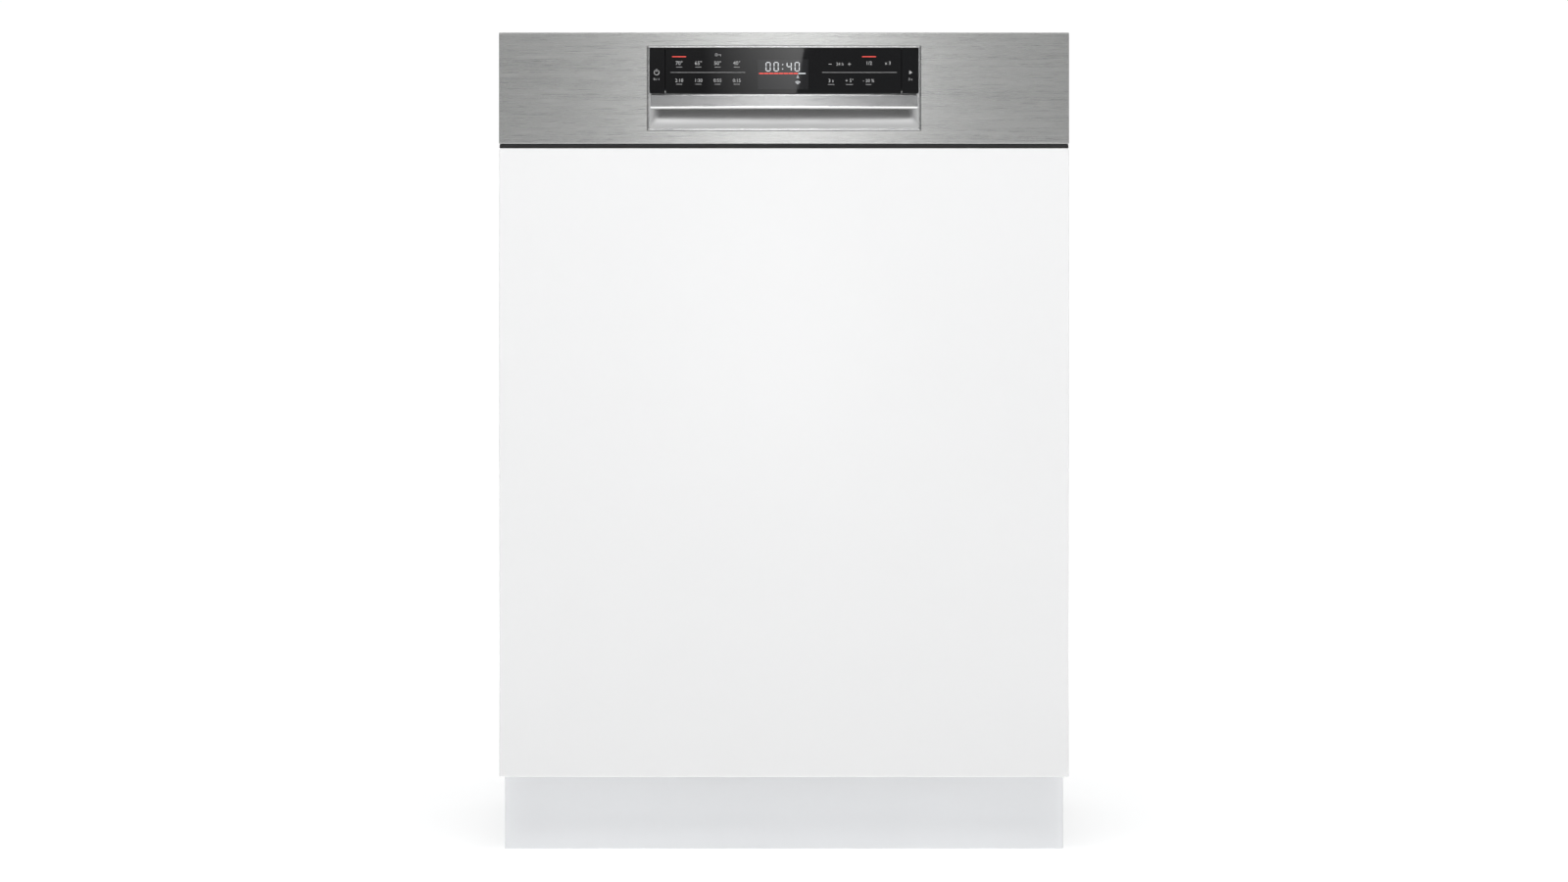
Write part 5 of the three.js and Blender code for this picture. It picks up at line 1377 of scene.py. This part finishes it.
# ---------------------------------------------------------------- hinge brackets and arms
# Stamped 3 mm steel. A bracket stands in the base tray on each side and carries a riveted pin; the
# arm that turns on it is bolted up the side of the door.
def stamped(bm, outline, x0, x1):
    """A plate across X, cut to an outline of (y, z) points, its edges broken by the press."""
    thicken(bm, [bm.faces.new([bm.verts.new(mm(x0, y, z)) for y, z in outline])], x1 - x0, 0, 0)
    face_outwards(bm)
    bevel(bm, [edge for edge in bm.edges if abs(edge.verts[0].co.x - edge.verts[1].co.x) > 1e-6], 4, 4)
    bevel(bm, [
        edge for edge in folds(bm, 1.2) if abs(edge.verts[0].co.x - edge.verts[1].co.x) < 1e-6], 0.5, 2)


bracket_low, bracket_high = limits("hinge_bracket_right")
arm_low, arm_high = limits("hinge_arm_right")
pivot_y, pivot_z = arm_low[1] + 11, arm_low[2] + 11
for side, hand in hands:
    outwards = "+X" if side > 0 else "-X"
    plate_x = side * bracket_high[0]
    bm = bmesh.new()
    stamped(bm, (
        (pivot_y - 12, pivot_z - 12), (tray_front + 4, pivot_z - 12), (tray_front + 4, bracket_low[2]),
        (bracket_high[1], bracket_low[2]), (bracket_high[1], bracket_high[2]), (pivot_y - 12, pivot_z + 12)),
        side * (bracket_high[0] - 3), plate_x)
    lathe(bm, ((0, 0), (7.5, 0), (8.6, 1), (8.6, 2.6), (0, 2.6)), (plate_x - 1.9, pivot_y, pivot_z), "X", 28)
    pin_start = min(side * bracket_low[0], side * (bracket_high[0] - 1))
    lathe(bm, ((0, 0), (4.4, 0), (4.9, 0.5), (4.9, 6.2), (0, 6.2)), (pin_start, pivot_y, pivot_z), "X", 24)
    for y, z in ((tray_front + 22, 92), (tray_front + 22, 128), (tray_front + 8, pivot_z)):
        pan_screw(bm, side * (bracket_high[0] - 0.2), y, z, outwards, 3.2)
    face_outwards(bm)
    fit(f"stamped_bracket_{hand}", bm, "cabinet", galvanised, f"hinge_bracket_{hand}")

    bm = bmesh.new()
    stamped(bm, (
        (pivot_y - 10, pivot_z - 9), (pivot_y + 9, pivot_z - 9), (arm_high[1], pivot_z + 6),
        (arm_high[1], pivot_z + 20), (pivot_y + 14, pivot_z + 34), (pivot_y + 14, arm_high[2]),
        (arm_low[1], arm_high[2])), side * arm_low[0], side * arm_high[0])
    for z in (pivot_z + 60, pivot_z + 110, pivot_z + 156):
        pan_screw(bm, side * (arm_high[0] - 0.2), pivot_y + 1.5, z, outwards, 3.4)
    face_outwards(bm)
    fit(f"stamped_arm_{hand}", bm, "door", galvanised, f"hinge_arm_{hand}")

# ---------------------------------------------------------------- balance springs
# A close-wound tension spring on each side, its ends turned into long hooks. They hold the door at
# any angle.
spring_steel = Finish("spring_steel", "galvanised", Metallic=1.0)
drawn_wire = spring_steel.noise(1.0, 4, (300, 900, 900), 0.6)
spring_steel.set(
    Base_Color=spring_steel.blend(drawn_wire, grey(0.3), grey(0.42)),
    Roughness=drawn_wire.ranged(0.3, 0.7, 0.26, 0.4))
low, high = limits("door_spring_right")
coil_x, coil_z, coil_radius = low[0] + 8, (low[2] + high[2]) / 2, 6.7
coil_start, coil_stop = low[1] + 13, high[1] - 13
steps = 44 * 14
for side, hand in hands:
    coil = [(
        side * (coil_x + coil_radius * math.cos(step * math.pi / 7)),
        coil_start + (coil_stop - coil_start) * step / steps,
        coil_z + coil_radius * math.sin(step * math.pi / 7)) for step in range(steps + 1)]
    hooks = [bent([
        (side * (coil_x + coil_radius), at, coil_z), (side * coil_x, at + lean, coil_z),
        (side * coil_x, end, coil_z), (side * (high[0] - 0.6), end, coil_z)], 4)
        for at, end, lean in ((coil_start, low[1] + 2, -2.4), (coil_stop, high[1] - 2, 2.4))]
    bm = bmesh.new()
    rods(bm, [coil], 1.2, 1)
    rods(bm, hooks, 1.2, 2)
    fit(f"coil_spring_{hand}", bm, "cabinet", spring_steel, f"door_spring_{hand}", sharp=60)

# ---------------------------------------------------------------- door shell
# A galvanised outer sheet carries the front panel. The inner sheet is stainless, pressed with shallow
# fields so that it is stiff, and folded forwards all round. A rubber lip wipes along its foot.
coat(galvanised, "door_outer_sheet")
low, high = limits("door_liner")
hatch_low, hatch_high = limits("dispenser")
wet, edge_gap = high[1] - 0.4, 0.3
hatch_x, hatch_z0, hatch_z1 = hatch_high[0] + edge_gap, hatch_low[2] - edge_gap, hatch_high[2] + edge_gap
bm = bmesh.new()
sheet_field(
    bm, "Y", wet, ((low[0] + edge_gap, high[0] - edge_gap), (low[2] + edge_gap, high[2] - edge_gap)),
    ((-232, -130, -hatch_x, hatch_x, 130, 232), (210, 372, 404, hatch_z0, hatch_z1, 552, 586, 738),
     (((-232, 232), (210, 372)), ((-232, 232), (586, 738)), ((-232, -130), (404, 552)),
      ((130, 232), (404, 552)))), -2.6, 10)
open_up(bm, x=(-hatch_x, hatch_x), z=(hatch_z0, hatch_z1))
bevel(bm, folds(bm, 0.1), 2.4, 3)
pull(bm, [
    edge for edge in rims(bm) if along([edge], lambda at: abs(abs(at.x) - high[0] + edge_gap) < 0.2)
    or along([edge], lambda at: min(abs(at.z - low[2] - edge_gap), abs(at.z - high[2] + edge_gap)) < 0.2)],
    0, low[1] - wet + edge_gap, 0)
bevel(bm, folds(bm, 1.2), 5, 5)
face_outwards(bm)
fit("pressed_door_liner", bm, "door", stainless, "door_liner", sharp=40, wall=0.8)

bm = bmesh.new()
block(bm, (-266, wet - 1, low[2] + 24), (266, wet + 2.6, low[2] + 34), 1, 2)
block(bm, (-266, wet + 1.4, low[2] + 22), (266, wet + 4.4, low[2] + 25.5), 0.8, 2)
fit("door_foot_lip", bm, "door", rubber)
screws(
    "liner_screws", "door", stainless,
    [(x, wet + 0.2, z) for x in (-258, 258) for z in (low[2] + 60, 480, high[2] - 40)], 3.6, "+Y")

# ---------------------------------------------------------------- detergent dispenser
# A moulded housing set in the inner sheet. A sliding lid covers the tablet chamber, whose wall has
# level marks; beside it a round-cornered flap closes the rinse aid filler.
softened("dispenser", "door", grey_plastic, 1.3, 3)
wet_front = hatch_high[1]
bm = bmesh.new()
block(
    bm, (hatch_low[0] - 2.5, wet - 0.2, hatch_z0 - 2.5), (hatch_high[0] + 2.5, wet + 1.6, hatch_z1 + 2.5),
    0.8, 2)
inside = [face for face in bm.faces if abs(face.normal.y) > 0.9]
bmesh.ops.inset_individual(bm, faces=inside, thickness=0.0045)
bmesh.ops.delete(bm, geom=inside, context="FACES")
bmesh.ops.bridge_loops(bm, edges=rims(bm))
face_outwards(bm)
fit("dispenser_rim", bm, "door", grey_plastic)


def tile(low, high, corners, edges):
    """A flat moulding that faces Y: the radius and segments of its round corners and of its edges."""
    bm = bmesh.new()
    block(bm, low, high, 0)
    bevel(bm, [e for e in bm.edges if abs(e.verts[0].co.y - e.verts[1].co.y) > 1e-4], *corners)
    bevel(bm, folds(bm, 1.2), *edges)
    return bm


lid_low, lid_high = limits("dispenser_lid")
bm = tile(lid_low, (lid_high[0], lid_high[1] - 1, lid_high[2]), (5, 5), (0.6, 2))
for z in (lid_low[2] + 9 + rib * 3 for rib in range(5)):
    block(bm, (lid_low[0] + 21, lid_high[1] - 1.3, z), (lid_high[0] - 21, lid_high[1], z + 1.3), 0.35, 1)
for x in (lid_low[0] + 12, lid_low[0] + 65):
    block(bm, (x, lid_high[1] - 1.3, lid_low[2] + 32), (x + 5, lid_high[1] - 0.5, lid_high[2] - 8), 0.35, 1)
fit("sliding_lid", bm, "dispenser_lid", grey_plastic, "dispenser_lid")

cap_low, cap_high = limits("rinse_aid_cap")
middle = (cap_low[0] + cap_high[0]) / 2
bm = tile(cap_low, cap_high, (7, 6), (0.8, 3))
dish(bm, [face for face in bm.faces if face.normal.y > 0.9 and face.calc_area() > 0.0005], 6, -1.2)
lip_foot, lip_top = cap_high[2] - 6, cap_high[2] - 3.5
block(bm, (middle - 7, cap_high[1] - 1.3, lip_foot), (middle + 7, cap_high[1], lip_top), 0.4, 2)
fit("rinse_aid_flap", bm, "rinse_aid_cap", grey_plastic, "rinse_aid_cap")

gauge_at = (middle, wet_front, cap_high[2] + 26)
bm = bmesh.new()
lathe(bm, ((0, 0.2), (6.4, 0.2), (7, -0.4), (7, -2), (0, -2)), gauge_at, "Y", 32)
fit("rinse_aid_gauge", bm, "door", smoked)
bm = bmesh.new()
lathe(bm, ((6.6, 0.1), (8.2, 0.4), (8.8, -0.2), (8.8, -1), (6.6, -1)), gauge_at, "Y", 32)
for row in range(4):
    x, z = lid_high[0] - 13 + (row % 2) * 3, lid_low[2] + 12 + row * 10
    block(bm, (x, wet_front - 21.9, z), (lid_high[0] - 4, wet_front - 20.9, z + 1), 0.2, 1)
fit("dispenser_marks", bm, "door", white_plastic)

# ---------------------------------------------------------------- fascia housing, lock and board
# Black moulded carrier behind the steel fascia, with the lock's jaw in its top. The green circuit
# board behind the glass holds chips and capacitors.
softened("fascia_housing", "door", black_plastic, 0.9)
softened("door_lock", "door", black_plastic, 0.6)
low, high = limits("door_lock")
bm = bmesh.new()
for x in (-19, 19):
    pan_screw(bm, x, (low[1] + high[1]) / 2, high[2] - 1.6, "+Z", 3.2)
block(bm, (-8.5, low[1] + 3, low[2] + 0.2), (8.5, low[1] + 7, low[2] + 1.2), 0.4, 2)
fit("lock_screws", bm, "door", galvanised)

board_green = Finish("board_green", Roughness=0.35, Coat_Weight=0.5)
tracks = board_green.node(
    "ShaderNodeTexBrick", {"offset": 0.5}, {
        "Vector": board_green.place(turn=(math.pi / 2, 0, 0)), "Scale": 90, "Mortar Size": 0.03,
        "Color1": grey(0), "Color2": grey(0.2), "Mortar": grey(1)})
board_green.set(Base_Color=board_green.blend(tracks, (0.012, 0.075, 0.03, 1), (0.03, 0.14, 0.06, 1)))
coat(board_green, "control_board")
low, high = limits("control_board")
bm = bmesh.new()
for x in (x for x in range(-90, 96, 26) if abs(x) > 44):
    for z, wide in ((low[2] + 9, 9), (low[2] + 26, 6)):
        block(bm, (x, high[1] - 4.2, z), (x + wide, high[1] - 1.5, z + 6), 0.4, 1)
        capacitor = ((0, 0), (2.2, 0), (2.4, 0.4), (2.4, 3.4), (0, 3.8))
        lathe(bm, capacitor, (x + wide + 5, high[1] - 0.4, z + 3), "Y", 14)
fit("board_parts", bm, "door", black_plastic)
